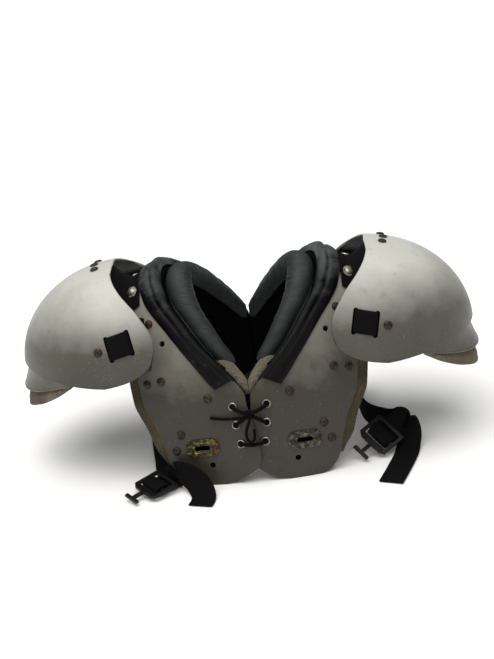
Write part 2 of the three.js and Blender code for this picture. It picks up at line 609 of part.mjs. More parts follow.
// Loop of webbing at a cap's front or back lobe, from the plate out through the inner slot, over
// the bridge between the slots and in through the outer one. along is a share of SLOT_SPACING
// from the middle of the bridge, lift a height over the cap.
function capLoop(side, face) {
  const rise = LOOP_THICKNESS / 2 + SEAT, inside = -CAP_WALL - DOME_GAP - LOOP_THICKNESS / 2;
  const route = [
    { out: -0.62, lift: inside - 3 }, { out: -0.5, lift: inside * 0.7 }, { out: -0.5, lift: rise * 0.4 },
    { out: -0.4, lift: rise }, { out: -0.15, lift: rise + 0.2 }, { out: 0.15, lift: rise + 0.2 },
    { out: 0.4, lift: rise }, { out: 0.5, lift: rise * 0.4 }, { out: 0.5, lift: inside * 0.7 },
    { out: 0.62, lift: inside }, { out: 1, lift: inside }, { out: 1.45, lift: inside },
  ];
  const anchorU = 102, anchorHeight = SLOT_HEIGHT - 1;
  const rows = [];
  const across = (j) => LOOP_WIDTH * (j / 2 - 0.5);
  for (const t of [0, 0.5])
    rows.push((j, lift) => {
      const u = anchorU + 12 * t;
      return archPoint(side.sign, u, turnAt(u, anchorHeight + across(j), face > 0), SEAT + LOOP_THICKNESS / 2 + lift);
    });
  const profile = route.map((row, k) => {
    const before = route[Math.max(k - 1, 0)], after = route[Math.min(k + 1, route.length - 1)];
    const run = (after.out - before.out) * SLOT_SPACING, climb = after.lift - before.lift;
    const length = Math.hypot(run, climb);
    return { ...row, nu: -climb / length, nl: run / length };
  });
  for (const row of profile)
    rows.push((j, lift) => domeSeatFacing(side.sign, SLOT_CENTRE + row.out * SLOT_SPACING + row.nu * lift,
      SLOT_HEIGHT + across(j), face, row.lift + row.nl * lift).point);
  return wall(rows.length, 3, (i, j) => rows[i](j, LOOP_THICKNESS / 2), (i, j) => rows[i](j, -LOOP_THICKNESS / 2));
}

// Small hardware, each made round the Z axis with its seat at z = 0

function lathe(profile, segments = 8) {
  return new THREE.LatheGeometry(profile.map(([r, z]) => new THREE.Vector2(r, z)), segments).rotateX(Math.PI / 2);
}

const rivetShape = (radius = RIVET_RADIUS, height = RIVET_HEIGHT) => lathe([
  [0, CLEAR], [radius, CLEAR], [radius * 0.75, CLEAR + height * 0.75], [0, CLEAR + height]]);

const washeredRivetShape = () => lathe([
  [0, CLEAR], [WASHER_RADIUS, CLEAR], [WASHER_RADIUS * 0.94, CLEAR + 1], [RIVET_RADIUS, CLEAR + 1.1],
  [RIVET_RADIUS * 0.7, CLEAR + 1.1 + RIVET_HEIGHT * 0.6], [0, CLEAR + 1.1 + RIVET_HEIGHT * 0.8]]);

const eyeletShape = () => lathe([
  [EYELET_BORE, -PLATE_WALL - 1], [EYELET_BARREL, -PLATE_WALL - 1], [EYELET_BARREL, CLEAR], [EYELET_RADIUS, CLEAR],
  [EYELET_RADIUS * 0.85, CLEAR + EYELET_HEIGHT], [EYELET_BORE, CLEAR + EYELET_HEIGHT * 0.7], [EYELET_BORE, -PLATE_WALL - 1]]);

function addSeated(name, geometry, material, seat, spin = 0) {
  addPiece(name, geometry, material).applyMatrix4(seatMatrix(seat, spin));
}

function hookPlateSpin(side) {
  return THREE.MathUtils.degToRad(side.sign < 0 ? 4 : 0);
}

// Belt hook: a slider frame with a bar for the belt and a T on a stem that goes into a hook plate.
// Its own axes: X across the belt, Y away from the hook, Z up through the frame.
function buckleShape() {
  const half = BUCKLE_WIDTH / 2, end = BUCKLE_LENGTH / 2, stem = HOOK_BAR / 2, tip = -end - HOOK_STEM;
  const shape = new THREE.Shape([
    [-half, end], [-half, -end + 4], [-half + 6, -end], [-stem, -end], [-stem, tip], [-HOOK_CROSSBAR / 2, tip],
    [-HOOK_CROSSBAR / 2, tip - HOOK_BAR], [HOOK_CROSSBAR / 2, tip - HOOK_BAR], [HOOK_CROSSBAR / 2, tip], [stem, tip],
    [stem, -end], [half - 6, -end], [half, -end + 4], [half, end],
  ].map(([x, y]) => new THREE.Vector2(x, y)));
  const inner = half - BUCKLE_RIM;
  for (const [low, high] of [[-end + 7, -BUCKLE_BAR / 2], [BUCKLE_BAR / 2, end - BUCKLE_RIM]])
    shape.holes.push(new THREE.Path([[-inner, low], [inner, low], [inner, high], [-inner, high]]
      .map(([x, y]) => new THREE.Vector2(x, y))));
  return new THREE.ExtrudeGeometry(shape, { depth: BUCKLE_THICKNESS, bevelEnabled: false })
    .translate(0, 0, -BUCKLE_THICKNESS / 2);
}

// Where each belt hook lies: centre, the way its T points, and the way its face looks
const BUCKLES = {
  left: { centre: [-110, -123, 8.5], hook: [-0.77, -0.64, -0.1], face: [0, -0.12, 1] },
  right: { centre: [137, -75, 19], hook: [-0.76, -0.58, -0.3], face: [0, -0.707, 0.707] },
};
// The belt round the bar of its hook: away is the distance from the hook's middle against the
// hook's pointing, over the height above it, both as shares of BUCKLE_LENGTH
const BELT_TURN = [
  { away: 0.62, over: -0.19 }, { away: 0.4, over: -0.18 }, { away: 0.1, over: -0.17 }, { away: -0.12, over: -0.145 },
  { away: -0.2, over: -0.06 }, { away: -0.19, over: 0.04 }, { away: -0.1, over: 0.1 }, { away: 0, over: 0.107 },
  { away: 0.1, over: 0.1 }, { away: 0.21, over: 0.04 }, { away: 0.27, over: -0.05 }, { away: 0.37, over: -0.1 },
  { away: 0.64, over: -0.125 },
];
// Where a belt is riveted to the outside of its back plate
const BELT_ANCHOR = { from: 66, to: 90, height: 40 };
// Free lengths of each belt: points in millimetres and the way its width runs
const BELT_ROUTES = {
  left: {
    strap: [
      { at: [-107, 104, 36], across: [0.1, 0.2, 1] }, { at: [-117, 84, 27], across: [0.2, 0.1, 1] },
      { at: [-118, 56, 16], across: [0.7, 0, 0.7] }, { at: [-113, 20, 4], across: [1, 0, 0.1] },
      { at: [-108, -20, 2], across: [1, 0, 0] }, { at: [-102, -60, 5], across: [1, 0, 0] },
      { at: [-98, -90, 7], across: [0.85, -0.5, 0] },
    ],
    tail: [
      { at: [-88.5, -115, 12.5], across: [0.7, -0.7, 0] }, { at: [-80, -122, 20], across: [0.3, -0.1, 0.95] },
      { at: [-66, -130, 14], across: [0.5, 0.3, 0.8] }, { at: [-58, -140, 5], across: [0.85, 0.35, 0.4] },
      { at: [-57, -152, 1.6], across: [1, 0.1, 0] }, { at: [-60, -163, 1.4], across: [1, -0.1, 0] },
    ],
  },
  right: {
    strap: [
      { at: [107, 104, 37], across: [0, 0, 1] }, { at: [116, 86, 31], across: [0, 0, 1] },
      { at: [119, 60, 22], across: [0, 0, 1] }, { at: [120, 28, 15.5], across: [0, 0, 1] },
      { at: [128, -10, 15.5], across: [0, 0, 1] },
      { at: [146, -28, 16], across: [0.2, -0.2, 0.95] }, { at: [162, -38, 19], across: [0.5, -0.45, 0.75] },
    ],
    tail: [
      { at: [165, -57, 26], across: [0.75, -0.4, -0.5] }, { at: [169, -62, 16], across: [0.9, -0.3, -0.2] },
      { at: [167, -72, 5], across: [0.97, -0.25, 0] }, { at: [163, -88, 1.6], across: [1, -0.25, 0] },
      { at: [152, -120, 1.4], across: [1, -0.3, 0] }, { at: [141, -149, 1.4], across: [1, -0.5, 0] },
    ],
  },
};

function buckleMatrix(name) {
  const { centre, hook, face } = BUCKLES[name];
  const back = new THREE.Vector3(...hook).normalize().negate();
  const across = back.clone().cross(new THREE.Vector3(...face)).normalize();
  return new THREE.Matrix4().makeBasis(across, back, across.clone().cross(back)).setPosition(...centre);
}

function beltStations({ name, sign }) {
  const matrix = buckleMatrix(name), across = new THREE.Vector3().setFromMatrixColumn(matrix, 0);
  const turn = BELT_TURN.map(({ away, over }) => ({
    at: new THREE.Vector3(0, away * BUCKLE_LENGTH, over * BUCKLE_LENGTH).applyMatrix4(matrix), across }));
  const free = (rows) => rows.map((row) => ({
    at: new THREE.Vector3(...row.at), across: new THREE.Vector3(...row.across) }));
  const { strap, tail } = BELT_ROUTES[name];
  const anchor = [0, 0.5, 1].map((share) => {
    const u = THREE.MathUtils.lerp(BELT_ANCHOR.from, BELT_ANCHOR.to, share);
    const point = (dz) => archPoint(sign, u, turnAt(u, BELT_ANCHOR.height + dz, true), 2 * SEAT + BELT_THICKNESS / 2);
    return { at: point(0), across: point(1).sub(point(-1)) };
  });
  const rows = [...anchor, ...free(strap), ...turn, ...free(tail)];
  for (let k = 1; k < rows.length; k++)
    if (rows[k].across.dot(rows[k - 1].across) < 0) rows[k].across = rows[k].across.clone().negate();
  return rows;
}

// Flat band along a smooth line through its stations
function band(stations, width, thickness, steps) {
  const line = new THREE.CatmullRomCurve3(stations.map((row) => row.at), false, 'centripetal');
  const last = stations.length - 1, rows = [];
  for (let k = 0; k < last; k++) {
    const count = Math.max(1, Math.round(stations[k].at.distanceTo(stations[k + 1].at) / steps));
    for (let n = 0; n < count; n++) rows.push((k + n / count) / last);
  }
  rows.push(1);
  const frames = rows.map((t) => {
    const k = Math.min(Math.floor(t * last), last - 1), share = t * last - k;
    const forward = line.getTangent(t);
    const across = stations[k].across.clone().lerp(stations[k + 1].across, share);
    across.addScaledVector(forward, -across.dot(forward)).normalize();
    return { at: line.getPoint(t), across, up: across.clone().cross(forward) };
  });
  const face = (side) => (i, j) => frames[i].at.clone()
    .addScaledVector(frames[i].across, (j - 0.5) * width)
    .addScaledVector(frames[i].up, (side * thickness) / 2);
  return wall(frames.length, 2, face(1), face(-1));
}

// Cord along points: straight where sharp, with a section of a few sides
function cord(points, radius, sides, spacing) {
  const line = new THREE.CatmullRomCurve3(points, false, 'centripetal');
  const angle = (k) => (2 * Math.PI * k) / sides;
  const shape = new THREE.Shape(Array.from({ length: sides }, (_, k) =>
    new THREE.Vector2(radius * Math.cos(angle(k)), radius * Math.sin(angle(k)))));
  const steps = Math.max(3, Math.round(line.getLength() / spacing));
  return new THREE.ExtrudeGeometry(shape, { steps, bevelEnabled: false, extrudePath: line });
}

// Point over the laced edges of the chest or the back, x measured to the right
function lacePoint(x, height, lift, back = false) {
  const u = Math.abs(x), turn = turnAt(u, height, back);
  if (lift < -PLATE_WALL) return archPoint(Math.sign(x) || 1, u, turn, lift, false);
  const over = x < 0 || back ? 0 : lapRise(-1, -x, turn) * (1 - THREE.MathUtils.smoothstep(x, LACED_LAP, LACED_LAP + 3.5));
  return archPoint(Math.sign(x) || 1, u, turn, lift + over);
}

const laceRun = (rows, back) => cord(rows.map(([x, z, lift]) => lacePoint(x, z, lift, back)), LACE_RADIUS, 6, 7);
const KNOT = { x: -1, height: 73, lift: 7 };
const LACE_OVER = CLEAR + SEAT + EYELET_HEIGHT + LACE_RADIUS;
const LACE_UNDER = -PLATE_WALL - 1 - CLEAR - LACE_RADIUS;

// Points of a strand through an eyelet, from the outside in; dx, dz lead away on the outside
function throughEyelet(row, side, dx, dz, insideX, insideZ) {
  const { u, height } = EYELETS[row], x = side * u, reach = EYELET_RADIUS / Math.hypot(dx, dz);
  return [
    [x + dx * reach, height + dz * reach, LACE_OVER + 1], [x, height, LACE_OVER - 1.8], [x, height, -PLATE_WALL / 2],
    [x, height, LACE_UNDER], [x + insideX, height + insideZ, LACE_UNDER - 1.6],
  ];
}

function frontLace() {
  const knot = [KNOT.x, KNOT.height, KNOT.lift];
  const reversed = (points) => [...points].reverse();
  const loop = [
    knot, ...throughEyelet(1, -1, 9, 6, 3, -6), [0, 54, LACE_UNDER - 2], ...reversed(throughEyelet(2, 1, -6, 0, -3, 5)),
    [0, EYELETS[2].height - 1, LACE_OVER + 1], ...throughEyelet(2, -1, 6, 0, 3, 5), [0, 54, LACE_UNDER - 5],
    ...reversed(throughEyelet(1, 1, -9, 6, -3, -6)), knot];
  const upper = [
    knot, ...throughEyelet(0, -1, 9, -6, 6, 1), [0, EYELETS[0].height + 2, LACE_UNDER - 2],
    ...reversed(throughEyelet(0, 1, -9, -6, -6, 1)), knot];
  const ball = new THREE.IcosahedronGeometry(4.2, 1);
  ball.applyMatrix4(new THREE.Matrix4().setPosition(lacePoint(...knot)));
  return fuse([laceRun(loop), laceRun(upper), ball]);
}

function backLace() {
  const rows = [];
  for (const row of [0, 1, 2]) {
    const { height } = EYELETS[row];
    rows.push(...throughEyelet(row, -1, 6, 0, 5, row ? 6 : 3).reverse(), [0, height, LACE_OVER + 0.6],
      ...throughEyelet(row, 1, -6, 0, -5, -6));
  }
  return laceRun(rows, true);
}

// Free ends of the lace at the knot: x and height on the chest, and height over it
const LACE_LOOP = [[-1.3, 68.2, 7], [-5, 58, 7], [-4.5, 50, 7.5], [-1, 46, 7.8], [2.5, 50, 7.5], [2.6, 60, 7]];
const LACE_TAIL = [[-6.2, 72.5, 7], [-16, 71.5, 5.8], [-30, 71.5, 3.6], [-43, 73, 2.6]];
const freeLace = (rows) => cord(rows.map(([x, z, lift]) => lacePoint(x, z, lift)), LACE_RADIUS, 8, 5);

for (const side of SIDES) {
  const { sign, name } = side;
  addPiece(`arch_${name}`, plate(side), 'plate');
  addPiece(`neck_binding_${name}`, binding(side), 'vinyl');
  addPiece(`neck_roll_${name}`, neckRoll(side), 'roll');
  addPiece(`lining_pad_${name}`, liningPad(side), 'mesh');
  addPiece(`cap_${name}`, capShell(side), 'cap');
  addPiece(`epaulet_${name}`, epaulet(side), 'epaulet');
  addPiece(`epaulet_pad_${name}`, epauletCushion(side), 'mesh');
  addPiece(`shoulder_webbing_${name}`, shoulderWebbing(side), 'webbing');
  addPiece(`cap_loop_front_${name}`, capLoop(side, -1), 'webbing');
  addPiece(`cap_loop_back_${name}`, capLoop(side, 1), 'webbing');
  addPiece(`belt_${name}`, band(beltStations(side), BELT_WIDTH, BELT_THICKNESS, 17), 'webbing');
  addPiece(`belt_hook_${name}`, buckleShape(), 'plastic').applyMatrix4(buckleMatrix(name));

  const hookPlateSeat = archSeat(sign, HOOK_PLATE_AT.u, turnAt(HOOK_PLATE_AT.u, HOOK_PLATE_AT.height), CLEAR);
  const hookPlate = stadium(HOOK_PLATE_LENGTH, HOOK_PLATE_WIDTH, HOOK_PLATE_THICKNESS,
    { width: HOOK_SLOT_LENGTH, height: HOOK_SLOT_WIDTH }).translate(0, 0, HOOK_PLATE_THICKNESS / 2);
  addSeated(`hook_plate_${name}`, hookPlate, sign < 0 ? 'brass' : 'nickel', hookPlateSeat, hookPlateSpin(side));

  for (const back of [false, true])
    EYELETS.forEach(({ u, height }, n) => addSeated(`eyelet_${back ? 'back' : 'front'}_${name}_${n + 1}`,
      eyeletShape(), 'nickel', archSeat(sign, u, turnAt(u, height, back), sign < 0 && !back ? SEAT : 0)));
  PLATE_RIVETS.forEach(({ u, height }, n) => addSeated(`plate_rivet_${name}_${n + 1}`, rivetShape(), 'bronze',
    archSeat(sign, u, turnAt(u, height))));
  CAP_RIVETS.forEach(({ u, y }, n) => addSeated(`cap_rivet_${name}_${n + 1}`, rivetShape(), 'bronze',
    domeSeatOver(sign, u, y)));
  addSeated(`loop_rivet_${name}`, rivetShape(), 'bronze',
    domeSeatFacing(sign, SLOT_CENTRE + SLOT_SPACING, SLOT_HEIGHT - 5, -1, -CLEAR));
  WEBBING_RIVETS.forEach(({ u, y }, n) => {
    addSeated(`webbing_rivet_${name}_${n + 1}`, washeredRivetShape(), 'nickel',
      archSeat(sign, u, turnOver(u, y), SEAT + WEBBING_THICKNESS));
  });
}
addPiece('lace_front', frontLace(), 'lace');
addPiece('lace_back', backLace(), 'lace');
addPiece('lace_loop', freeLace(LACE_LOOP), 'lace');
addPiece('lace_tail', freeLace(LACE_TAIL), 'lace');

// The origin is the middle of the floor under the part, the lace's free ends left out
const box = new THREE.Box3();
part.updateMatrixWorld(true);
for (const mesh of part.children)
  if (!['lace_loop', 'lace_tail'].includes(mesh.name)) box.expandByObject(mesh, true);
const middle = box.getCenter(new THREE.Vector3());
for (const mesh of part.children)
  mesh.applyMatrix4(new THREE.Matrix4().makeTranslation(-middle.x, -middle.y, -box.min.z));
export default part;
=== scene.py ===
import bpy
import bmesh
import math
from mathutils import Matrix, Vector, noise


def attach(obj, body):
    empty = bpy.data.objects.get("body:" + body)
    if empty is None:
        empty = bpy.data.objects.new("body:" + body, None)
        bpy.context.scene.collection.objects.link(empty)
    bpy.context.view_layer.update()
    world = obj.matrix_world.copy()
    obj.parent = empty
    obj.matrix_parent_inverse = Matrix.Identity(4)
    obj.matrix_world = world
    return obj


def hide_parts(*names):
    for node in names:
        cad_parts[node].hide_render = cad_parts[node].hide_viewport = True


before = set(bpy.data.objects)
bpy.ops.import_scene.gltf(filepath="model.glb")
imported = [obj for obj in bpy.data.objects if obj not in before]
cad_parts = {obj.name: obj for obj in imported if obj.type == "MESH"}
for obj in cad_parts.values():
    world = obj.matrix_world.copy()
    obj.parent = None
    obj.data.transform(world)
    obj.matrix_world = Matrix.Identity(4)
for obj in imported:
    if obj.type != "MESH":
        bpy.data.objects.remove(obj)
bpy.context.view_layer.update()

# Camera: a phone held a little above the pad and tilted to one side, so that the pad leans in
# the frame. The lens is a normal one from a metre and a half away.
camera_azimuth, camera_elevation, camera_roll = math.radians(3.5), math.radians(22), math.radians(6.8)
camera_target, camera_distance, camera_lens = Vector((0.0005, 0.0234, 0.128)), 1.5, 73.1
camera = bpy.data.objects.new("camera", bpy.data.cameras.new("camera"))
camera.data.lens, camera.data.clip_end = camera_lens, 100
camera.matrix_world = (Matrix.Translation(camera_target) @ Matrix.Rotation(camera_azimuth, 4, "Z")
                       @ Matrix.Rotation(math.pi / 2 - camera_elevation, 4, "X")
                       @ Matrix.Rotation(-camera_roll, 4, "Z")
                       @ Matrix.Translation((0, 0, camera_distance)))
bpy.context.scene.collection.objects.link(camera)
bpy.context.scene.camera = camera

# Body arches: the surface that both plates are formed to, an oval seen from the side whose axis
# lies under the floor. Lengths are in millimetres, u is the distance from the centre line and
# turn runs from the chest edge, 0, over the crown to the back edge, 1.
crown_height, oval_sink, oval_power = 222, 60, 1.8
half_depth, shoulder_drop, crown_flat, side_tuck = 125, 22, 40, 0.19
plate_reach, plate_wall, laced_lap = 119, 3, 9
seat_gap, small_gap = 0.5, 0.3


def table(columns, *rows):
    """Rows of a table, by the names of its columns."""
    return [dict(zip(columns.split(), row)) for row in rows]


plate_edges = table("turn neck arm",
    (0, 0.29, 0.59), (0.0045, 0.19, 0.66), (0.012, 0.1, 0.71), (0.0275, 0.025, 0.765),
    (0.058, 0.013, 0.81), (0.09, 0.013, 0.865), (0.118, 0.013, 0.935), (0.136, 0.017, 0.97),
    (0.157, 0.1, 0.985), (0.191, 0.26, 1), (0.23, 0.43, 1), (0.272, 0.555, 1), (0.312, 0.655, 1.05),
    (0.35, 0.715, 1.09), (0.42, 0.755, 1.11), (0.5, 0.74, 1.11), (0.58, 0.68, 1.11),
    (0.665, 0.52, 1.08), (0.72, 0.385, 1.04), (0.79, 0.18, 1), (0.82, 0.08, 1), (0.845, 0.015, 0.985),
    (0.882, 0.013, 0.935), (0.91, 0.013, 0.865), (0.942, 0.013, 0.81), (0.9725, 0.025, 0.765),
    (0.988, 0.1, 0.71), (0.9955, 0.19, 0.66), (1, 0.29, 0.59))
chest_lap = table("turn left right",
    (0.012, 0, 0), (0.035, 1, 0.35), (0.09, 0.4, 0.3), (0.13, -0.3, 0), (0.157, 0, 0))
sides = {"left": -1, "right": 1}


def along(rows, key, column, at):
    """Value of a column part way along a table, on a smooth line through its rows."""
    last = len(rows) - 1
    if at <= rows[0][key]:
        return rows[0][column]
    if at >= rows[last][key]:
        return rows[last][column]
    k = next(n for n in range(last) if at <= rows[n + 1][key])

    def rate(n):
        return (rows[n + 1][column] - rows[n][column]) / (rows[n + 1][key] - rows[n][key])

    def slope(n):
        if n in (0, last):
            return rate(min(n, last - 1))
        before, after = rate(n - 1), rate(n)
        return 0 if before * after <= 0 else 2 * before * after / (before + after)

    step = rows[k + 1][key] - rows[k][key]
    t = (at - rows[k][key]) / step
    return ((1 + 2 * t) * (1 - t) ** 2 * rows[k][column] + t * (1 - t) ** 2 * step * slope(k)
            + t * t * (3 - 2 * t) * rows[k + 1][column] + t * t * (t - 1) * step * slope(k + 1))


def stops(rows, key, start, end, step):
    """Stops along a table between two values, none further apart than the step."""
    fixed = [start] + [r[key] for r in rows if start + step / 8 < r[key] < end - step / 8] + [end]
    line = [start]
    for low, high in zip(fixed, fixed[1:]):
        count = math.ceil((high - low) / step)
        line += [low + (high - low) * n / count for n in range(1, count + 1)]
    return line


def ease(value, low, high):
    t = min(max((value - low) / (high - low), 0), 1)
    return t * t * (3 - 2 * t)


def mix(a, b, t):
    return a + (b - a) * t


def arch_crown(u):
    return crown_height - shoulder_drop * (max(abs(u) - crown_flat, 0) / (plate_reach - crown_flat)) ** 2


def arch_depth(u):
    return half_depth * (1 - side_tuck * (abs(u) / plate_reach) ** 2.4)


def floor_angle(u):
    return math.asin((oval_sink / (arch_crown(u) + oval_sink)) ** (oval_power / 2))


def arch_base(sign, u, turn):
    start = floor_angle(u)
    angle = start + turn * (math.pi - 2 * start)
    run, climb = abs(math.cos(angle)) ** (2 / oval_power), abs(math.sin(angle)) ** (2 / oval_power)
    return Vector((sign * u, -math.copysign(1, math.cos(angle)) * arch_depth(u) * run,
                   (arch_crown(u) + oval_sink) * climb - oval_sink))


def turn_at(u, height, back=False):
    start = floor_angle(u)
    angle = math.asin(((height + oval_sink) / (arch_crown(u) + oval_sink)) ** (oval_power / 2))
    turn = (angle - start) / (math.pi - 2 * start)
    return 1 - turn if back else turn


def turn_over(u, y):
    climb = (1 - (abs(y) / arch_depth(u)) ** oval_power) ** (1 / oval_power)
    return turn_at(u, (arch_crown(u) + oval_sink) * climb - oval_sink, y > 0)


def lap_rise(sign, u, turn):
    if sign > 0 or turn > 0.3:
        return 0
    near = 1 - ease(u, laced_lap / 4, laced_lap * 2.8)
    return (plate_wall + seat_gap + small_gap) * near * (1 - ease(turn, 0.15, 0.25))


def arch_seat(sign, u, turn, lift=0, lapped=True):
    """Point over the arch and the way its surface looks there."""
    def face_out(surface):
        sideways = surface(u + 0.5, turn) - surface(u - 0.5, turn)
        forward = surface(u, turn + 0.002) - surface(u, turn - 0.002)
        return (sideways.cross(forward) * sign).normalized()

    plain = face_out(lambda a, b: arch_base(sign, a, b))
    rise = lap_rise(sign, u, turn) if lapped else 0
    normal = plain
    if rise:
        normal = face_out(lambda a, b: arch_base(sign, a, b) + plain * lap_rise(sign, a, b))
    point = arch_base(sign, u, turn) + plain * rise + normal * lift
    point.z = max(point.z, 0)
    return point, normal


def arch_point(sign, u, turn, lift=0, lapped=True):
    return arch_seat(sign, u, turn, lift, lapped)[0]


def neck_edge(turn):
    return plate_reach * along(plate_edges, "turn", "neck", turn)


def arm_edge(turn):
    return plate_reach * along(plate_edges, "turn", "arm", turn)


def placed(point):
    """Millimetres from the arches' own axis to metres in the frame, whose origin the belts move."""
    return Vector((point[0], point[1] + 23.442, point[2])) / 1000


# Lace of braided polyester, 4 mm thick where it is flat on the chest, knotted at the front. Its
# two free ends are cords: a short bight under the knot, and an end along the left plate.
lace_radius, lace_thickness = 1.6, 4.2
eyelet_height, eyelet_depth = 1.4, 1
lace_over = small_gap + seat_gap + eyelet_height + 1.4
lace_under = -plate_wall - eyelet_depth - small_gap - 1.2
eyelets = table("u height", (18, 83), (16, 64), (13, 44))
knot = (-1, 75, 7)
lace_bight = [(-1.3, 68.2, 7), (-5, 58, 7), (-4.5, 50, 7.5), (-1, 46, 7.8), (2.5, 50, 7.5), (2.6, 60, 7)]
lace_end = [(-6.2, 72.5, 7), (-16, 71.5, 5.8), (-30, 71.5, 3.6), (-43, 73, 2.6)]


def lace_point(x, height, lift, back=False):
    u, turn = abs(x), turn_at(abs(x), height, back)
    if lift < -plate_wall:
        return arch_point(math.copysign(1, x), u, turn, lift, False)
    over = 0 if x < 0 or back else lap_rise(-1, -x, turn) * (1 - ease(x, laced_lap, laced_lap + 3.5))
    return arch_point(math.copysign(1, x), u, turn, lift + over)


def smooth_line(points, spacing):
    """Points close together on a centripetal spline through the given ones."""
    closed = [points[0] * 2 - points[1]] + list(points) + [points[-1] * 2 - points[-2]]
    line = []
    for a, b, c, d in zip(closed, closed[1:], closed[2:], closed[3:]):
        t1 = max((b - a).length, 1e-4) ** 0.5
        t2 = t1 + max((c - b).length, 1e-4) ** 0.5
        t3 = t2 + max((d - c).length, 1e-4) ** 0.5
        count = max(1, round((c - b).length / spacing))
        for n in range(count):
            t = t1 + (t2 - t1) * n / count
            ab = a * ((t1 - t) / t1) + b * (t / t1)
            bc = b * ((t2 - t) / (t2 - t1)) + c * ((t - t1) / (t2 - t1))
            cd = c * ((t3 - t) / (t3 - t2)) + d * ((t - t2) / (t3 - t2))
            abc = ab * ((t2 - t) / t2) + bc * (t / t2)
            bcd = bc * ((t3 - t) / (t3 - t1)) + cd * ((t - t1) / (t3 - t1))
            line.append(abc * ((t2 - t) / (t2 - t1)) + bcd * ((t - t1) / (t2 - t1)))
    return line + [points[-1].copy()]


def linear(code):
    """sRGB hex colour as the linear one that a shader takes."""
    channels = [int(code[n:n + 2], 16) / 255 for n in (0, 2, 4)]
    return [c / 12.92 if c <= 0.04045 else ((c + 0.055) / 1.055) ** 2.4 for c in channels] + [1]


def dress(node, settings, links):
    """Sets a node by property, input or colour stops, and links sockets to its inputs."""
    for name, value in settings.items():
        if name == "stops":
            ramp = node.color_ramp.elements
            while len(ramp) < len(value):
                ramp.new(0.5)
            for stop, (at, code) in zip(ramp, value):
                stop.position, stop.color = at, linear(code)
        elif isinstance(name, str) and hasattr(node, name):
            setattr(node, name, value)
        else:
            node.inputs[name].default_value = value
    for name, socket in links.items():
        node.id_data.links.new(socket, node.inputs[name])


def add(tree, kind, settings=None, links=None, out=0):
    """Adds one node with its settings and links, and gives the output that is used."""
    node = tree.nodes.new("ShaderNode" + kind)
    dress(node, settings or {}, links or {})
    return node.outputs[out]


def new_material(name):
    """Material, its node tree and shader, and the coordinates that its patterns lie in."""
    material = bpy.data.materials.new(name)
    material.use_nodes = True
    tree = material.node_tree
    return material, tree, tree.nodes["Principled BSDF"], add(tree, "TexCoord", out="Object")


# Braid shows as fine diagonal ridges 0.8 mm apart; polyester gives a soft sheen and no gloss.
braid, tree, shader, place = new_material("braided_polyester")
ridges = add(tree, "TexWave",
             {"bands_direction": "DIAGONAL", "Scale": 380, "Distortion": 1.5, "Detail": 1},
             {"Vector": place}, "Fac")
colour = add(tree, "ValToRGB", {"stops": [(0.1, "050506"), (0.9, "141415")]}, {"Fac": ridges})
bump = add(tree, "Bump", {"Strength": 0.6, "Distance": 0.0003}, {"Height": ridges})
dress(shader, {"Roughness": 0.85, "IOR": 1.45, "Specular IOR Level": 0.06},
      {"Base Color": colour, "Normal": bump})


def declared(made, material, slot, *nodes):
    """Gives a piece its material and the frame's one body, and hides the CAD nodes that it takes the place
    of; the slot is not used.
    """
    made.data.materials.append(material)
    bpy.context.scene.collection.objects.link(made)
    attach(made, "root")
    if nodes:
        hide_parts(*nodes)
    return made


for name, route, lay in (("lace_loop", lace_bight, "hanging"), ("lace_tail", lace_end, "loose")):
    line = [placed(p) for p in smooth_line([lace_point(*row) for row in route], 4)]
    curve = bpy.data.curves.new(name + "_cord", "CURVE")
    curve.dimensions, curve.bevel_depth = "3D", lace_radius / 1000
    curve.bevel_resolution, curve.use_fill_caps = 3, True
    spline = curve.splines.new("POLY")
    spline.points.add(len(line) - 1)
    for spot, point in zip(spline.points, line):
        spot.co = (*point, 1)
    cord = declared(bpy.data.objects.new(name + "_cord", curve), braid, "lace", name)

# Laced strands: through each pair of eyelets and back to the knot in front, and up the back in a
# row of crossings. The knot is two turns of the same lace drawn tight.


def through_eyelet(row, side, dx, dz, inside_x, inside_z):
    u, height = eyelets[row]["u"], eyelets[row]["height"]
    x, reach = side * u, 4.8 / math.hypot(dx, dz)
    return [(x + dx * reach, height + dz * reach, lace_over + 1), (x, height, lace_over - 1.8),
            (x, height, -plate_wall / 2), (x, height, lace_under),
            (x + inside_x, height + inside_z, lace_under - 1.6)]


def ring_faces(rings, around, closed=False):
    """Faces between rings of points, capped at both ends or closed from the last to the first."""
    faces = []
    for n in range(rings if closed else rings - 1):
        low, high = n * around, (n + 1) % rings * around
        for k in range(around):
            m = (k + 1) % around
            faces.append((low + k, low + m, high + m, high + k))
    if not closed:
        faces += [tuple(reversed(range(around))), tuple((rings - 1) * around + k for k in range(around))]
    return faces


def tube(line, radius, around=10):
    """Rings round a line of points, each turned as little as it can be from the one before."""
    points = []
    side = (line[1] - line[0]).orthogonal().normalized()
    for n, centre in enumerate(line):
        forward = (line[min(n + 1, len(line) - 1)] - line[max(n - 1, 0)]).normalized()
        side = (side - forward * side.dot(forward)).normalized()
        across = forward.cross(side)
        for k in range(around):
            angle = 2 * math.pi * k / around
            points.append(centre + (side * math.cos(angle) + across * math.sin(angle)) * radius)
    return points, ring_faces(len(line), around)


def joined(*bodies):
    points, faces = [], []
    for body_points, body_faces in bodies:
        faces += [tuple(len(points) + k for k in face) for face in body_faces]
        points += body_points
    return points, faces


def solid_mesh(name, points, faces):
    """Mesh from points in millimetres, with its faces looking out."""
    mesh = bpy.data.meshes.new(name)
    mesh.from_pydata([placed(p) for p in points], [], faces)
    solid = bmesh.new()
    solid.from_mesh(mesh)
    bmesh.ops.recalc_face_normals(solid, faces=solid.faces)
    solid.to_mesh(mesh)
    solid.free()
    return mesh


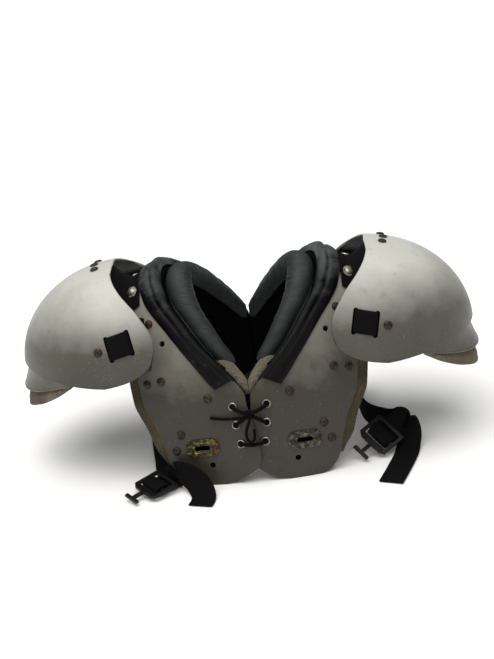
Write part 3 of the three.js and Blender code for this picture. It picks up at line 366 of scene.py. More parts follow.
def piece(name, body, material, slot, *nodes, sharp=40):
    """Mesh piece, shaded smooth but for edges sharper than the angle."""
    mesh = solid_mesh(name, *body)
    mesh.shade_smooth()
    mesh.set_sharp_from_angle(angle=math.radians(sharp))
    return declared(bpy.data.objects.new(name, mesh), material, slot, *nodes)


def strand(rows, back=False):
    return tube(smooth_line([lace_point(*row, back) for row in rows], 1.2), lace_thickness / 2)


front_loop = ([knot] + through_eyelet(1, -1, 9, 6, 3, -6) + [(0, 54, lace_under - 2)]
              + through_eyelet(2, 1, -6, 0, -3, 5)[::-1] + [(0, 43, lace_over + 1)]
              + through_eyelet(2, -1, 6, 0, 3, 5) + [(0, 54, lace_under - 5)]
              + through_eyelet(1, 1, -9, 6, -3, -6)[::-1] + [knot])
front_upper = ([knot] + through_eyelet(0, -1, 9, -6, 6, 1) + [(0, 85, lace_under - 2)]
               + through_eyelet(0, 1, -9, -6, -6, 1)[::-1] + [knot])
knot_middle, knot_steps, knot_radius = lace_point(*knot), 60, 2.3
knot_turns = [knot_middle + Vector((3.6 * math.sin(a) + 1.8 * math.sin(2 * a), 1.8 * math.cos(3 * a) - 0.6,
                                    3.4 * math.cos(a) - 1.6 * math.cos(2 * a) + 0.8))
              for a in [2 * math.pi * n / knot_steps for n in range(knot_steps)]]
piece("chest_lace", joined(strand(front_loop), strand(front_upper), tube(knot_turns, knot_radius)),
      braid, "lace", "lace_front")
back_rows = []
for row in range(3):
    back_rows += (through_eyelet(row, -1, 6, 0, 5, 6 if row else 3)[::-1]
                  + [(0, eyelets[row]["height"], lace_over + 0.6)] + through_eyelet(row, 1, -6, 0, -5, -6))
piece("back_lace", strand(back_rows, True), braid, "lace", "lace_back")

# Body plates: two arches cut from 3 mm polyethylene sheet, drawn over a mould, with drilled
# holes. The left one laps over the right one at the chest.


def shell(rows, columns, grid, round_edge=0.35):
    """Closed wall between the grid's side 0, outside, and its side 1, with a rounded border."""
    top, low = ([[grid(i, j, side) for j in range(columns)] for i in range(rows)] for side in (0, 1))
    points = [p for line in top for p in line] + [p for line in low for p in line]
    faces = []
    count = rows * columns
    for i in range(rows - 1):
        for j in range(columns - 1):
            a = i * columns + j
            faces.append((a, a + 1, a + columns + 1, a + columns))
            faces.append((count + a, count + a + columns, count + a + columns + 1, count + a + 1))
    border = ([(0, j, 1, j) for j in range(columns - 1)]
              + [(i, columns - 1, i, columns - 2) for i in range(rows - 1)]
              + [(rows - 1, j, rows - 2, j) for j in range(columns - 1, 0, -1)]
              + [(i, 0, i, 1) for i in range(rows - 1, 0, -1)])
    for i, j, near_i, near_j in border:
        away = top[i][j] - top[near_i][near_j]
        if (i, j) == (0, 0) or (i, j) == (rows - 1, columns - 1):
            away = away + top[i][j] - top[i][1 if j == 0 else columns - 2]
        thick = (top[i][j] - low[i][j]).length
        out = away.normalized() * thick * round_edge if away.length > 1e-6 else Vector()
        middle = (top[i][j] + low[i][j]) / 2 + out
        middle.z = max(middle.z, 0)
        points.append(middle)
    total = len(border)
    for n, (i, j, _, _) in enumerate(border):
        next_i, next_j = border[(n + 1) % total][:2]
        a, b = i * columns + j, next_i * columns + next_j
        m, m_next = 2 * count + n, 2 * count + (n + 1) % total
        faces.append((a, b, m_next, m))
        faces.append((m, m_next, count + b, count + a))
    return points, faces


def seat_matrix(point, normal, spin=0):
    across = (Vector((1, 0, 0)) - normal * normal.x).normalized()
    matrix = Matrix((across, normal.cross(across), normal)).transposed().to_4x4()
    return Matrix.Translation(point) @ matrix @ Matrix.Rotation(spin, 4, "Z")


def on_plate(sign, row, back=False, lift=0, spin=0):
    """Matrix that seats a fitting on the plate at a table row's place."""
    return seat_matrix(*arch_seat(sign, row["u"], turn_at(row["u"], row["height"], back), lift), spin)


def prism(outline, low, high, matrix):
    """Prism through an outline of (x, y) corners, placed by a matrix."""
    points = [matrix @ Vector((x, y, z)) for z in (low, high) for x, y in outline]
    return points, ring_faces(2, len(outline))


def round_ended(width, height):
    radius, steps = min(width, height) / 2, 10
    dx, dy = width / 2 - radius, height / 2 - radius
    corners = []
    for k in range(4 * steps):
        angle = 2 * math.pi * (k + 0.5) / (4 * steps)
        corners.append((math.copysign(dx, math.cos(angle)) + radius * math.cos(angle),
                        math.copysign(dy, math.sin(angle)) + radius * math.sin(angle)))
    return corners


def punch(width, height, matrix):
    """Tool that cuts a round-ended hole right through a wall."""
    return prism(round_ended(width, height), -3 * plate_wall, 3 * plate_wall, matrix)


def cut(target, *tools):
    """Cuts holes through a piece, and leaves no modifier on it."""
    tool = bpy.data.objects.new("holes", solid_mesh("holes", *joined(*tools)))
    bpy.context.scene.collection.objects.link(tool)
    hole = target.modifiers.new("holes", "BOOLEAN")
    hole.operation, hole.solver, hole.object = "DIFFERENCE", "EXACT", tool
    evaluated = target.evaluated_get(bpy.context.evaluated_depsgraph_get())
    made = bpy.data.meshes.new_from_object(evaluated)
    target.modifiers.clear()
    target.data = made
    made.shade_smooth()
    made.set_sharp_from_angle(angle=math.radians(40))
    bpy.data.objects.remove(tool)


# Satin polyethylene sheet, moulded: a soft gloss broken by fine pebble grain about 1 mm wide,
# painted dark below as shade and paler at the crown as light from above, with brown stains and pinpoint
# chips.
plate_plastic, tree, shader, place = new_material("moulded_polyethylene_grey")
height = add(tree, "SeparateXYZ", links={"Vector": place}, out="Z")
cloud = add(tree, "TexNoise", {"Scale": 22, "Detail": 6, "Roughness": 0.6}, {"Vector": place})
# Painted light and shade: by height, the colour runs paler higher up and darker lower down.
painted_height_shading = add(tree, "MapRange", {"From Min": 0, "From Max": 0.2, "To Min": 0.05, "To Max": 0.75},
            {"Value": height})
blend = add(tree, "Math", {"operation": "MULTIPLY_ADD", 1: 0.25}, {0: cloud, 2: painted_height_shading})
colour = add(tree, "ValToRGB", {"stops": [(0.15, "35312a"), (0.5, "3c382f"), (0.95, "a5a298")]},
             {"Fac": blend})
speck = add(tree, "TexNoise", {"Scale": 420, "Detail": 3, "Roughness": 0.7}, {"Vector": place})
chip = add(tree, "MapRange", {"From Min": 0.66, "From Max": 0.74}, {"Value": speck})
colour = add(tree, "Mix", {"data_type": "RGBA", 7: linear("7d7a72")}, {0: chip, 6: colour}, 2)
dirt = add(tree, "TexNoise", {"Scale": 60, "Detail": 8, "Roughness": 0.75}, {"Vector": place})
stain = add(tree, "MapRange", {"From Min": 0.56, "From Max": 0.74, "To Max": 0.55}, {"Value": dirt})
colour = add(tree, "Mix", {"data_type": "RGBA", 7: linear("2c261d")}, {0: stain, 6: colour}, 2)
gloss = add(tree, "MapRange", {"From Min": 0.3, "From Max": 0.7, "To Min": 0.3, "To Max": 0.5},
            {"Value": dirt})
grain = add(tree, "TexNoise", {"Scale": 900, "Detail": 2}, {"Vector": place})
bump = add(tree, "Bump", {"Strength": 0.12, "Distance": 0.0004}, {"Height": grain})
dress(shader, {"IOR": 1.5, "Specular IOR Level": 0.4},
      {"Base Color": colour, "Roughness": gloss, "Normal": bump})

lace_hole, open_hole = 8.2, 6.2
open_holes = table("u height", (88, 148), (46, 22))
hook_plate_at = {"u": 55, "height": 41}
hook_plate_spins = {"left": math.radians(4), "right": 0}
hook_slot_length, hook_slot_width, hook_slot_room = 17, 5, 2
plate_turns, plate_columns = stops(plate_edges, "turn", 0, 1, 0.006), 49
for name, sign in sides.items():
    def plate_grid(i, j, side):
        turn, across = plate_turns[i], (j / (plate_columns - 1)) ** 1.15
        lap = laced_lap * along(chest_lap, "turn", name, turn)
        u = mix(neck_edge(turn) - lap, arm_edge(turn), across)
        return arch_point(sign, u, turn, -plate_wall * side)

    arch = piece(f"body_plate_{name}", shell(len(plate_turns), plate_columns, plate_grid),
                 plate_plastic, "plate_shell", f"arch_{name}")
    tools = [punch(lace_hole, lace_hole, on_plate(sign, row, back))
             for back in (False, True) for row in eyelets]
    tools += [punch(open_hole, open_hole, on_plate(sign, row)) for row in open_holes]
    tools.append(punch(hook_slot_length + hook_slot_room, hook_slot_width + hook_slot_room,
                       on_plate(sign, hook_plate_at, spin=hook_plate_spins[name])))
    cut(arch, *tools)

# Neck binding: a strip of black vinyl folded over the plate's neck edge and sewn through it, fat
# with the foam under it. It creases across where it goes over the shoulder.
binding_width, binding_edge, binding_tuck, binding_columns = 19.5, 2.6, 0.88, 25
binding_from, binding_to = 0.165, 0.812
binding_top = table("t out lift",
    (0, 1, 0.5), (0.06, 1.0, 1.4), (0.22, 0.82, 2.7), (0.46, 0.5, 3.2), (0.56, 0.36, 2.6),
    (0.72, 0.14, 4.1), (0.88, -0.13, 2), (1, -0.174, -3.3))
binding_turns = stops(plate_edges, "turn", binding_from, binding_to, 0.004)


def binding_place(sign, turn, out, lift):
    end = 1 - ease(turn, binding_from, binding_from + 0.08)
    return arch_point(sign, neck_edge(turn) + out, turn - 0.014 * end * max(out, 0) / binding_width,
                      lift + (seat_gap * end if lift > 0 else 0))


# Glossy calendered vinyl: nearly black, with a painted grey highlight along the crest over the
# shoulder, and a fine leather-like grain and soft wrinkles.
vinyl, tree, shader, place = new_material("calendered_vinyl_black")
cloud = add(tree, "TexNoise", {"Scale": 45, "Detail": 5, "Roughness": 0.6}, {"Vector": place})
height = add(tree, "SeparateXYZ", links={"Vector": place}, out="Z")
# Painted highlight: high up, over the crest, the colour is pushed towards grey.
painted_crest_highlight = add(tree, "MapRange", {"From Min": 0.172, "From Max": 0.214, "To Max": 0.36}, {"Value": height})
tone_and_crest_highlight = add(tree, "Math", {"operation": "ADD"}, {0: cloud, 1: painted_crest_highlight})
colour = add(tree, "ValToRGB", {"stops": [(0.3, "060607"), (0.62, "0c0c0d"), (1, "4b4e4e")]},
             {"Fac": tone_and_crest_highlight})
gloss = add(tree, "MapRange", {"From Min": 0.3, "From Max": 0.7, "To Min": 0.3, "To Max": 0.5},
            {"Value": cloud})
grain = add(tree, "TexVoronoi", {"Scale": 700, "feature": "DISTANCE_TO_EDGE"},
            {"Vector": place}, "Distance")
wrinkle = add(tree, "TexNoise", {"Scale": 190, "Detail": 4, "Distortion": 1.2}, {"Vector": place})
bump = add(tree, "Bump", {"Strength": 0.35, "Distance": 0.0006}, {"Height": wrinkle})
bump = add(tree, "Bump", {"Strength": 0.15, "Distance": 0.0002}, {"Height": grain, "Normal": bump})
dress(shader, {"IOR": 1.5, "Specular IOR Level": 0.12},
      {"Base Color": colour, "Roughness": gloss, "Normal": bump})
for name, sign in sides.items():
    def binding_grid(i, j, side):
        turn, t = binding_turns[i], j / (binding_columns - 1)
        if side and t < binding_tuck:
            return binding_place(sign, turn, mix(binding_width, -0.8, t / binding_tuck), seat_gap)
        if side:
            under = mix(seat_gap, -plate_wall - small_gap, (t - binding_tuck) / (1 - binding_tuck))
            return binding_place(sign, turn, -0.8, under)
        out = binding_width * along(binding_top, "t", "out", t)
        lift = along(binding_top, "t", "lift", t)
        lift += max(lift, 0) * 0.9 * ease(min(turn, 1 - turn), 0.27, 0.4)
        crease = noise.noise(Vector((turn * 150, t * 2.2, sign * 5)))
        broad = noise.noise(Vector((turn * 38, t * 1.3, sign * 9)))
        fold = max(crease, -0.25) * 0.9 * ease(turn, 0.28, 0.42) + broad * 0.7
        return binding_place(sign, turn, out, lift + fold * ease(min(t, 1 - t) * 2, 0.05, 0.4))

    strip = piece(f"vinyl_binding_{name}", shell(len(binding_turns), binding_columns, binding_grid, 0.1),
                  vinyl, "neck_vinyl", f"neck_binding_{name}")

# Neck roll: a tube of foam in charcoal coated cloth, sewn in behind the binding. The cover is
# eased round the curve, so it puckers into fine folds across the roll.
roll_half_width, roll_half_thickness, roll_sink = 16, 13, 18
roll_from, roll_to, roll_around = 0.19, 0.812, 44
roll_girth = table("turn girth",
    (0.19, 0.4), (0.197, 0.6), (0.215, 0.76), (0.28, 0.88), (0.4, 1), (0.58, 0.95), (0.7, 0.78),
    (0.775, 0.62), (0.795, 0.52), (0.807, 0.38), (0.812, 0.25))
# Cloth coated with a matt film: charcoal, with a fine weave and the wrinkles of a worn cover.
roll_cloth, tree, shader, place = new_material("coated_cloth_charcoal")
cloud = add(tree, "TexNoise", {"Scale": 60, "Detail": 5, "Roughness": 0.65}, {"Vector": place})
colour = add(tree, "ValToRGB", {"stops": [(0.3, "16181a"), (0.55, "232627"), (0.75, "323536")]},
             {"Fac": cloud})
weave = add(tree, "TexVoronoi", {"Scale": 850}, {"Vector": place}, "Distance")
wrinkle = add(tree, "TexNoise", {"Scale": 260, "Detail": 4, "Distortion": 0.8}, {"Vector": place})
bump = add(tree, "Bump", {"Strength": 0.5, "Distance": 0.0007}, {"Height": wrinkle})
bump = add(tree, "Bump", {"Strength": 0.2, "Distance": 0.0002}, {"Height": weave, "Normal": bump})
dress(shader, {"Roughness": 0.58, "IOR": 1.5, "Specular IOR Level": 0.35},
      {"Base Color": colour, "Normal": bump})
for name, sign in sides.items():
    turns, points = stops(roll_girth, "turn", roll_from, roll_to, 0.0025), []
    for turn in turns:
        girth = along(roll_girth, "turn", "girth", turn)
        middle = neck_edge(turn) - binding_edge - small_gap - seat_gap - roll_half_width * girth
        for k in range(roll_around):
            angle = 2 * math.pi * k / roll_around
            pucker = noise.noise(Vector((turn * 230, math.cos(angle) * 0.9,
                                         math.sin(angle) * 0.9 + sign * 7)))
            fold = noise.noise(Vector((turn * 75, math.cos(angle), math.sin(angle) + sign * 3)))
            facing = 0.5 - 0.5 * math.cos(angle)
            swell = 1 + (pucker * 0.045 + fold * 0.05) * facing
            u = middle + roll_half_width * girth * math.cos(angle) * (swell if math.cos(angle) < 0 else 1)
            lift = -roll_sink + roll_half_thickness * girth * math.sin(angle) * swell
            points.append(arch_point(sign, max(u, 1.5), turn, lift, False))
    roll = piece(f"neck_cushion_{name}", (points, ring_faces(len(turns), roll_around)),
                 roll_cloth, "neck_roll", f"neck_roll_{name}")

# Lining: a foam pad in knitted mesh under each plate. It shows as a narrow brown strip beyond the
# plate's arm edge, and as a tan gathered end under the front of each roll.
pad_thickness, pad_margin, pad_inset, pad_columns = 15, 14, 3, 31
pad_edge = table("turn margin",
    (0.026, 24), (0.06, 8), (0.075, -2), (0.13, -4), (0.155, -10), (0.18, -7.5), (0.2, -3), (0.8, -3),
    (0.815, -10), (0.93, -4), (0.945, 8), (0.974, 24))
gather_half_width, gather_half_thickness, gather_sink, gather_around = 11, 7, 9.5, 32
gather_girth = table("turn girth", (0.139, 0.3), (0.146, 0.5), (0.16, 0.7), (0.18, 0.86), (0.2, 0.9))
# Warp-knit polyester mesh: tan yarn in a net of holes about 2.5 mm apart that show dark. The
# darker copy, for the lining, has darker yarn, and near the middle it is painted black as shade.
for label, shades in (("knitted_mesh_tan", ("5f594b", "766f60", "8c8575")),
                      ("knitted_mesh_darker", ("423a2d", "554c3c", "6a604f"))):
    mesh_cloth, tree, shader, place = new_material(label)
    net = add(tree, "TexVoronoi", {"Scale": 620, "Randomness": 0.2}, {"Vector": place}, "Distance")
    hole = add(tree, "MapRange", {"From Min": 0.15, "From Max": 0.5}, {"Value": net})
    cloud = add(tree, "TexNoise", {"Scale": 30, "Detail": 5}, {"Vector": place})
    yarn = add(tree, "ValToRGB", {"stops": list(zip((0.3, 0.55, 0.75), shades))}, {"Fac": cloud})
    colour = add(tree, "Mix", {"data_type": "RGBA", 6: linear("2a2620")}, {0: hole, 7: yarn}, 2)
    if label == "knitted_mesh_tan":
        knit = mesh_cloth
    else:
        darker_knit = mesh_cloth
        # Painted shade: near the centre line, inside the neck opening, widening upward, the lining goes
        # black.
        aside = add(tree, "SeparateXYZ", links={"Vector": place}, out="X")
        aside = add(tree, "Math", {"operation": "ABSOLUTE"}, {0: aside})
        height = add(tree, "SeparateXYZ", links={"Vector": place}, out="Z")
        beyond = add(tree, "Math", {"operation": "MULTIPLY_ADD", 1: -0.3}, {0: height, 2: aside})
        edge = add(tree, "MapRange", {"From Min": 0.05, "From Max": 0.058}, {"Value": beyond})
        colour = add(tree, "Mix", {"data_type": "RGBA", 6: linear("030303")}, {0: edge, 7: colour}, 2)
    bump = add(tree, "Bump", {"Strength": 0.8, "Distance": 0.0006}, {"Height": hole})
    dress(shader, {"Roughness": 0.95, "IOR": 1.45, "Specular IOR Level": 0.1},
          {"Base Color": colour, "Normal": bump})
for name, sign in sides.items():
    pad_turns = stops(pad_edge, "turn", 0.026, 0.974, 0.008)

    def pad_grid(i, j, side):
        turn, t, from_end = pad_turns[i], j / (pad_columns - 1), min(i, len(pad_turns) - 1 - i)
        neck = max(neck_edge(turn) + along(pad_edge, "turn", "margin", turn), 0.15)
        arm = arm_edge(turn) + pad_margin - 8 * (1 - ease(from_end, 0, 5))
        u = mix(neck + pad_inset * side, arm - pad_inset * side, t)
        crown = (1 - ease(min(t, 1 - t, from_end / 12), 0, 0.12)) * 2.2
        under_lace = 5.5 * (1 - ease(u, 20, 40)) * (1 - ease(min(turn, 1 - turn), 0.14, 0.165))
        lift = -plate_wall - seat_gap - small_gap - pad_thickness * side - under_lace
        return arch_point(sign, u, turn, lift + crown * (2 * side - 1), False)

    pad = piece(f"mesh_lining_{name}", shell(len(pad_turns), pad_columns, pad_grid, 0.16),
                darker_knit, "mesh_lining", f"lining_pad_{name}")
    turns, points = stops(gather_girth, "turn", 0.139, 0.2, 0.003), []
    for turn in turns:
        girth = along(gather_girth, "turn", "girth", turn)
        width, sink = gather_half_width * girth, gather_sink + 7 * ease(turn, 0.17, 0.21)
        for k in range(gather_around):
            angle = 2 * math.pi * k / gather_around
            fold = 1 + 0.06 * noise.noise(Vector((turn * 90, 1.6 * math.cos(angle),
                                                  1.6 * math.sin(angle) + sign)))
            u = neck_edge(turn) + 1.5 - width + width * fold * math.cos(angle)
            lift = gather_half_thickness * girth * fold * math.sin(angle) - sink
            points.append(arch_point(sign, max(u, 0.2), turn, lift, False))
    gathered = piece(f"mesh_gather_{name}", (points, ring_faces(len(turns), gather_around)),
                     knit, "mesh_lining")

# Shoulder cap: a deep bowl of 3 mm sheet over the upper arm, with a notch for the webbing at its
# neck side and a lobe to the front and to the back, each with two slots for a loop.
cap_centre, cap_reach, cap_neck_reach, cap_half_depth = 130, 122, 160, 104
cap_base, cap_rise, cap_rim, cap_side_rim, cap_wall = 118, 104, 116, 126, 3
notch_depth, lobe_angle = 9, 111
slot_spacing, slot_height, slot_width, slot_length = 23, 161, 5.2, 28.5
slot_lean = math.radians(13)
cap_span = table("climb span",
    (0, 0.71), (0.05, 0.85), (0.16, 0.965), (0.33, 1), (0.55, 0.945), (0.76, 0.82), (0.9, 0.71),
    (1, 0.61))


def dome_radius(angle):
    reach = cap_reach if math.cos(angle) > 0 else cap_neck_reach
    return 1 / math.hypot(math.cos(angle) / reach, math.sin(angle) / cap_half_depth)


def dome_seat(sign, angle, pitch, lift=0):
    """Point over the cap's dome and the way its surface looks there."""
    reach, radius = cap_reach if math.cos(angle) > 0 else cap_neck_reach, dome_radius(angle)
    out, y = radius * math.cos(pitch) * math.cos(angle), radius * math.cos(pitch) * math.sin(angle)
    up = cap_rise * math.sin(pitch)
    normal = Vector((sign * out / reach ** 2, y / cap_half_depth ** 2, up / cap_rise ** 2)).normalized()
    return Vector((sign * (cap_centre + out), y, cap_base + up)) + normal * lift, normal


def dome_seat_over(sign, u, y, lift=0):
    angle = math.atan2(y, u - cap_centre)
    pitch = math.acos(min(math.hypot(u - cap_centre, y) / dome_radius(angle), 1))
    return dome_seat(sign, angle, pitch, lift)


def pitch_at(height):
    return math.asin((height - cap_base) / cap_rise)


def dome_seat_facing(sign, u, height, face, lift=0):
    pitch = pitch_at(height)
    reach = cap_reach if u > cap_centre else cap_neck_reach
    share = math.cos(pitch) ** 2 - ((u - cap_centre) / reach) ** 2
    y = face * cap_half_depth * math.sqrt(max(share, 0))
    return dome_seat(sign, math.atan2(y, u - cap_centre), pitch, lift)


def slot_place(out, up):
    """Where a point of the leaning pair of slots lies on the cap, from their common centre."""
    return (cap_centre + out * math.cos(slot_lean) + up * math.sin(slot_lean),
            slot_height - out * math.sin(slot_lean) + up * math.cos(slot_lean))


def notch_pitch(angle, notch):
    return math.acos(notch / dome_radius(angle))


# The caps are the same sheet in a paler silver grey: satin, painted paler at the top as light from
# above and dark brown towards the rim as shade, with pale scuffs from knocks. Their inner face, which
# looks downward, is painted nearly black as shade.
cap_plastic, tree, shader, place = new_material("moulded_polyethylene_silver")
height = add(tree, "SeparateXYZ", links={"Vector": place}, out="Z")
cloud = add(tree, "TexNoise", {"Scale": 14, "Detail": 6, "Roughness": 0.6}, {"Vector": place})
# Painted light and shade: by height, paler at the top of the cap and dark brown low down.
painted_height_shading = add(tree, "MapRange", {"From Min": 0.11, "From Max": 0.215, "To Min": 0.15, "To Max": 0.85},
            {"Value": height})
blend = add(tree, "Math", {"operation": "MULTIPLY_ADD", 1: 0.35}, {0: cloud, 2: painted_height_shading})
colour = add(tree, "ValToRGB", {"stops": [(0.2, "26221c"), (0.6, "535047"), (1, "bdbeb6")]},
             {"Fac": blend})
speck = add(tree, "TexNoise", {"Scale": 520, "Detail": 3, "Roughness": 0.8}, {"Vector": place})
patch = add(tree, "TexNoise", {"Scale": 35, "Detail": 4}, {"Vector": place})
chance = add(tree, "Math", {"operation": "MULTIPLY_ADD", 1: 0.28}, {0: patch, 2: speck})
chip = add(tree, "MapRange", {"From Min": 0.79, "From Max": 0.85, "To Max": 0.2}, {"Value": chance})
colour = add(tree, "Mix", {"data_type": "RGBA", 7: linear("cfcfcb")}, {0: chip, 6: colour}, 2)
dirt = add(tree, "TexNoise", {"Scale": 48, "Detail": 8, "Roughness": 0.75}, {"Vector": place})
stain = add(tree, "MapRange", {"From Min": 0.57, "From Max": 0.74, "To Max": 0.4}, {"Value": dirt})
colour = add(tree, "Mix", {"data_type": "RGBA", 7: linear("575046")}, {0: stain, 6: colour}, 2)
# Painted shade: faces that look downward, the cap's inner face, go nearly black.
facing = add(tree, "SeparateXYZ", links={"Vector": add(tree, "NewGeometry", out="True Normal")}, out="Z")
under = add(tree, "MapRange", {"From Min": -0.03, "From Max": -0.12}, {"Value": facing})
colour = add(tree, "Mix", {"data_type": "RGBA", 7: linear("0e0e0d")}, {0: under, 6: colour}, 2)
gloss = add(tree, "MapRange", {"From Min": 0.3, "From Max": 0.7, "To Min": 0.32, "To Max": 0.5},
            {"Value": dirt})
grain = add(tree, "TexNoise", {"Scale": 900, "Detail": 2}, {"Vector": place})
bump = add(tree, "Bump", {"Strength": 0.1, "Distance": 0.0004}, {"Height": grain})
dress(shader, {"IOR": 1.51, "Specular IOR Level": 0.45},
      {"Base Color": colour, "Roughness": gloss, "Normal": bump})
cap_climbs, cap_columns = stops(cap_span, "climb", 0, 1, 0.014), 129
for name, sign in sides.items():
    def cap_grid(i, j, side):
        span = math.radians(lobe_angle * along(cap_span, "climb", "span", cap_climbs[i]))
        angle = span * (2 * j / (cap_columns - 1) - 1)
        rim = pitch_at(mix(cap_rim, cap_side_rim, max(math.cos(angle), 0) ** 2))
        notch = notch_pitch(angle, notch_depth / max(math.cos(angle), 0.36))
        return dome_seat(sign, angle, mix(rim, notch, cap_climbs[i]), -cap_wall * side)[0]

    cap = piece(f"shoulder_cap_{name}", shell(len(cap_climbs), cap_columns, cap_grid),
                cap_plastic, "cap_shell", f"cap_{name}")
    tools = []
    for face in (-1, 1):
        for offset in (-0.5, 0.5):
            mid, tip = (slot_place(offset * slot_spacing, up) for up in (0, 1))
            point, normal = dome_seat_facing(sign, *mid, face)
            upward = dome_seat_facing(sign, *tip, face)[0] - point
            upward = (upward - upward.dot(normal) * normal).normalized()
            turned = Matrix((upward.cross(normal), upward, normal)).transposed().to_4x4()
            tools.append(punch(slot_width, slot_length, Matrix.Translation(point) @ turned))
    cut(cap, *tools)

# Epaulet: a second shell under the cap, cut from thinner sheet. Its skirt flares out and shows
# under the cap's outer rim.
epaulet_wall, epaulet_top, epaulet_rim, epaulet_flare, epaulet_curl = 2.5, 122, 94, 9, 1.5
epaulet_angle, epaulet_notch, epaulet_side_notch, epaulet_knee = 62, 24, 44, 0.34
dome_gap, webbing_thickness = 1.25, 2
epaulet_rows, epaulet_columns = 49, 97


def epaulet_point(sign, i, j, inset, rim=epaulet_rim):
    """Point of the epaulet's grid: up the dome above the knee, and down the flared skirt below it."""
    angle = math.radians(epaulet_angle) * (2 * j / (epaulet_columns - 1) - 1)
    climb, top = i / (epaulet_rows - 1), pitch_at(epaulet_top)
    window = max(math.cos(angle * 1.3), 0) ** 1.5
    depth = cap_wall + dome_gap + inset
    if climb >= epaulet_knee:
        notch = mix(epaulet_notch, epaulet_side_notch, math.sin(angle) ** 2)
        pitch = mix(top, notch_pitch(angle, notch), (climb - epaulet_knee) / (1 - epaulet_knee))
        extra = (webbing_thickness + dome_gap * 1.2) * ease(pitch, top, top + 0.7)
        return dome_seat(sign, angle, pitch, -depth - extra)[0]
    down = 1 - climb / epaulet_knee
    point = dome_seat(sign, angle, top, -depth)[0]
    out = Vector((sign * math.cos(angle), math.sin(angle), 0))
    point = point + out * (epaulet_flare * down ** 1.3 * window - 4 * down * (1 - window))
    point.z -= (epaulet_top - rim) * down * window
    return point


for name, sign in sides.items():
    curl = tube([epaulet_point(sign, 0, j, epaulet_wall / 2) for j in range(epaulet_columns)],
                epaulet_curl)
    wall = shell(epaulet_rows, epaulet_columns,
                 lambda i, j, side: epaulet_point(sign, i, j, epaulet_wall * side))
    piece(f"epaulet_shell_{name}", joined(wall, curl), plate_plastic, "epaulet_shell", f"epaulet_{name}")

# Epaulet pad: foam in the same knitted mesh, hung inside the epaulet with its rounded lower edge
# below the rim. Low ribs run along it where the mesh is quilted.
cushion_thickness, cushion_hang, cushion_rounding = 14, 23, 3.2
for name, sign in sides.items():
    rows, columns = epaulet_rows - 8, epaulet_columns - 16

    def cushion_grid(i, j, side):
        edge = min(j / 8, (columns - 1 - j) / 8, (rows - 1 - i) / 6)
        rounded = (1 - ease(edge, 0, 1)) * 1.6 + (1 - ease(i, 0, 5)) * cushion_rounding
        deep = epaulet_wall + seat_gap + cushion_thickness * side
        if side:
            deep -= rounded
        else:
            rib = max(0.5 * math.sin(i * 2.6) * ease(14 - i, 0, 6), 0)
            deep += rounded + rib - 5 * (1 - ease(i, 1, 7)) * ease(edge, 0, 1)
        return epaulet_point(sign, i, j + 8, deep, epaulet_rim - cushion_hang + 4 * side)

    cushion = piece(f"epaulet_cushion_{name}", shell(rows, columns, cushion_grid, 0.2),
                    knit, "mesh_lining", f"epaulet_pad_{name}")

# Shoulder webbing: a wide black nylon web from the plate's crown out under the cap, riveted
# through the plate with washers. The ribs of its weave run along it.
webbing_width, webbing_start, webbing_end = 72, 110.5, 168
webbing_lift, webbing_climb = 118, 32
webbing_rows, webbing_columns = 41, 49
# Woven nylon: black ribs 1.1 mm apart with fine cross threads between them; matt with a sheen.
woven, tree, shader, place = new_material("woven_nylon_black")
warp = add(tree, "TexWave", {"bands_direction": "DIAGONAL", "Scale": 250, "Distortion": 0.6, "Detail": 1},
           {"Vector": place}, "Fac")
weft = add(tree, "TexVoronoi", {"Scale": 1100}, {"Vector": place}, "Distance")
thread = add(tree, "Math", {"operation": "MULTIPLY"}, {0: warp, 1: weft})
colour = add(tree, "ValToRGB", {"stops": [(0.1, "060607"), (0.8, "141415")]}, {"Fac": warp})
bump = add(tree, "Bump", {"Strength": 0.6, "Distance": 0.0004}, {"Height": thread})
dress(shader, {"Roughness": 0.85, "IOR": 1.5, "Specular IOR Level": 0.06},
      {"Base Color": colour, "Normal": bump})
for name, sign in sides.items():
    def web_grid(i, j, side):
        u = mix(webbing_start, webbing_end, i / (webbing_rows - 1))
        y, low_u = webbing_width * (j / (webbing_columns - 1) - 0.5), min(u, webbing_lift)
        lift = webbing_thickness * (1 - side)
        low = arch_point(sign, low_u, turn_over(low_u, y), 2 * seat_gap + lift)
        high = dome_seat_over(sign, max(u, cap_centre), y,
                              -cap_wall - dome_gap - webbing_thickness + lift)[0]
        blend = ease(u, webbing_lift, webbing_lift + webbing_climb)
        return Vector((sign * u, mix(low.y, high.y, blend), mix(low.z, high.z, blend)))

    piece(f"shoulder_web_{name}", shell(webbing_rows, webbing_columns, web_grid),
          woven, "webbing", f"shoulder_webbing_{name}")
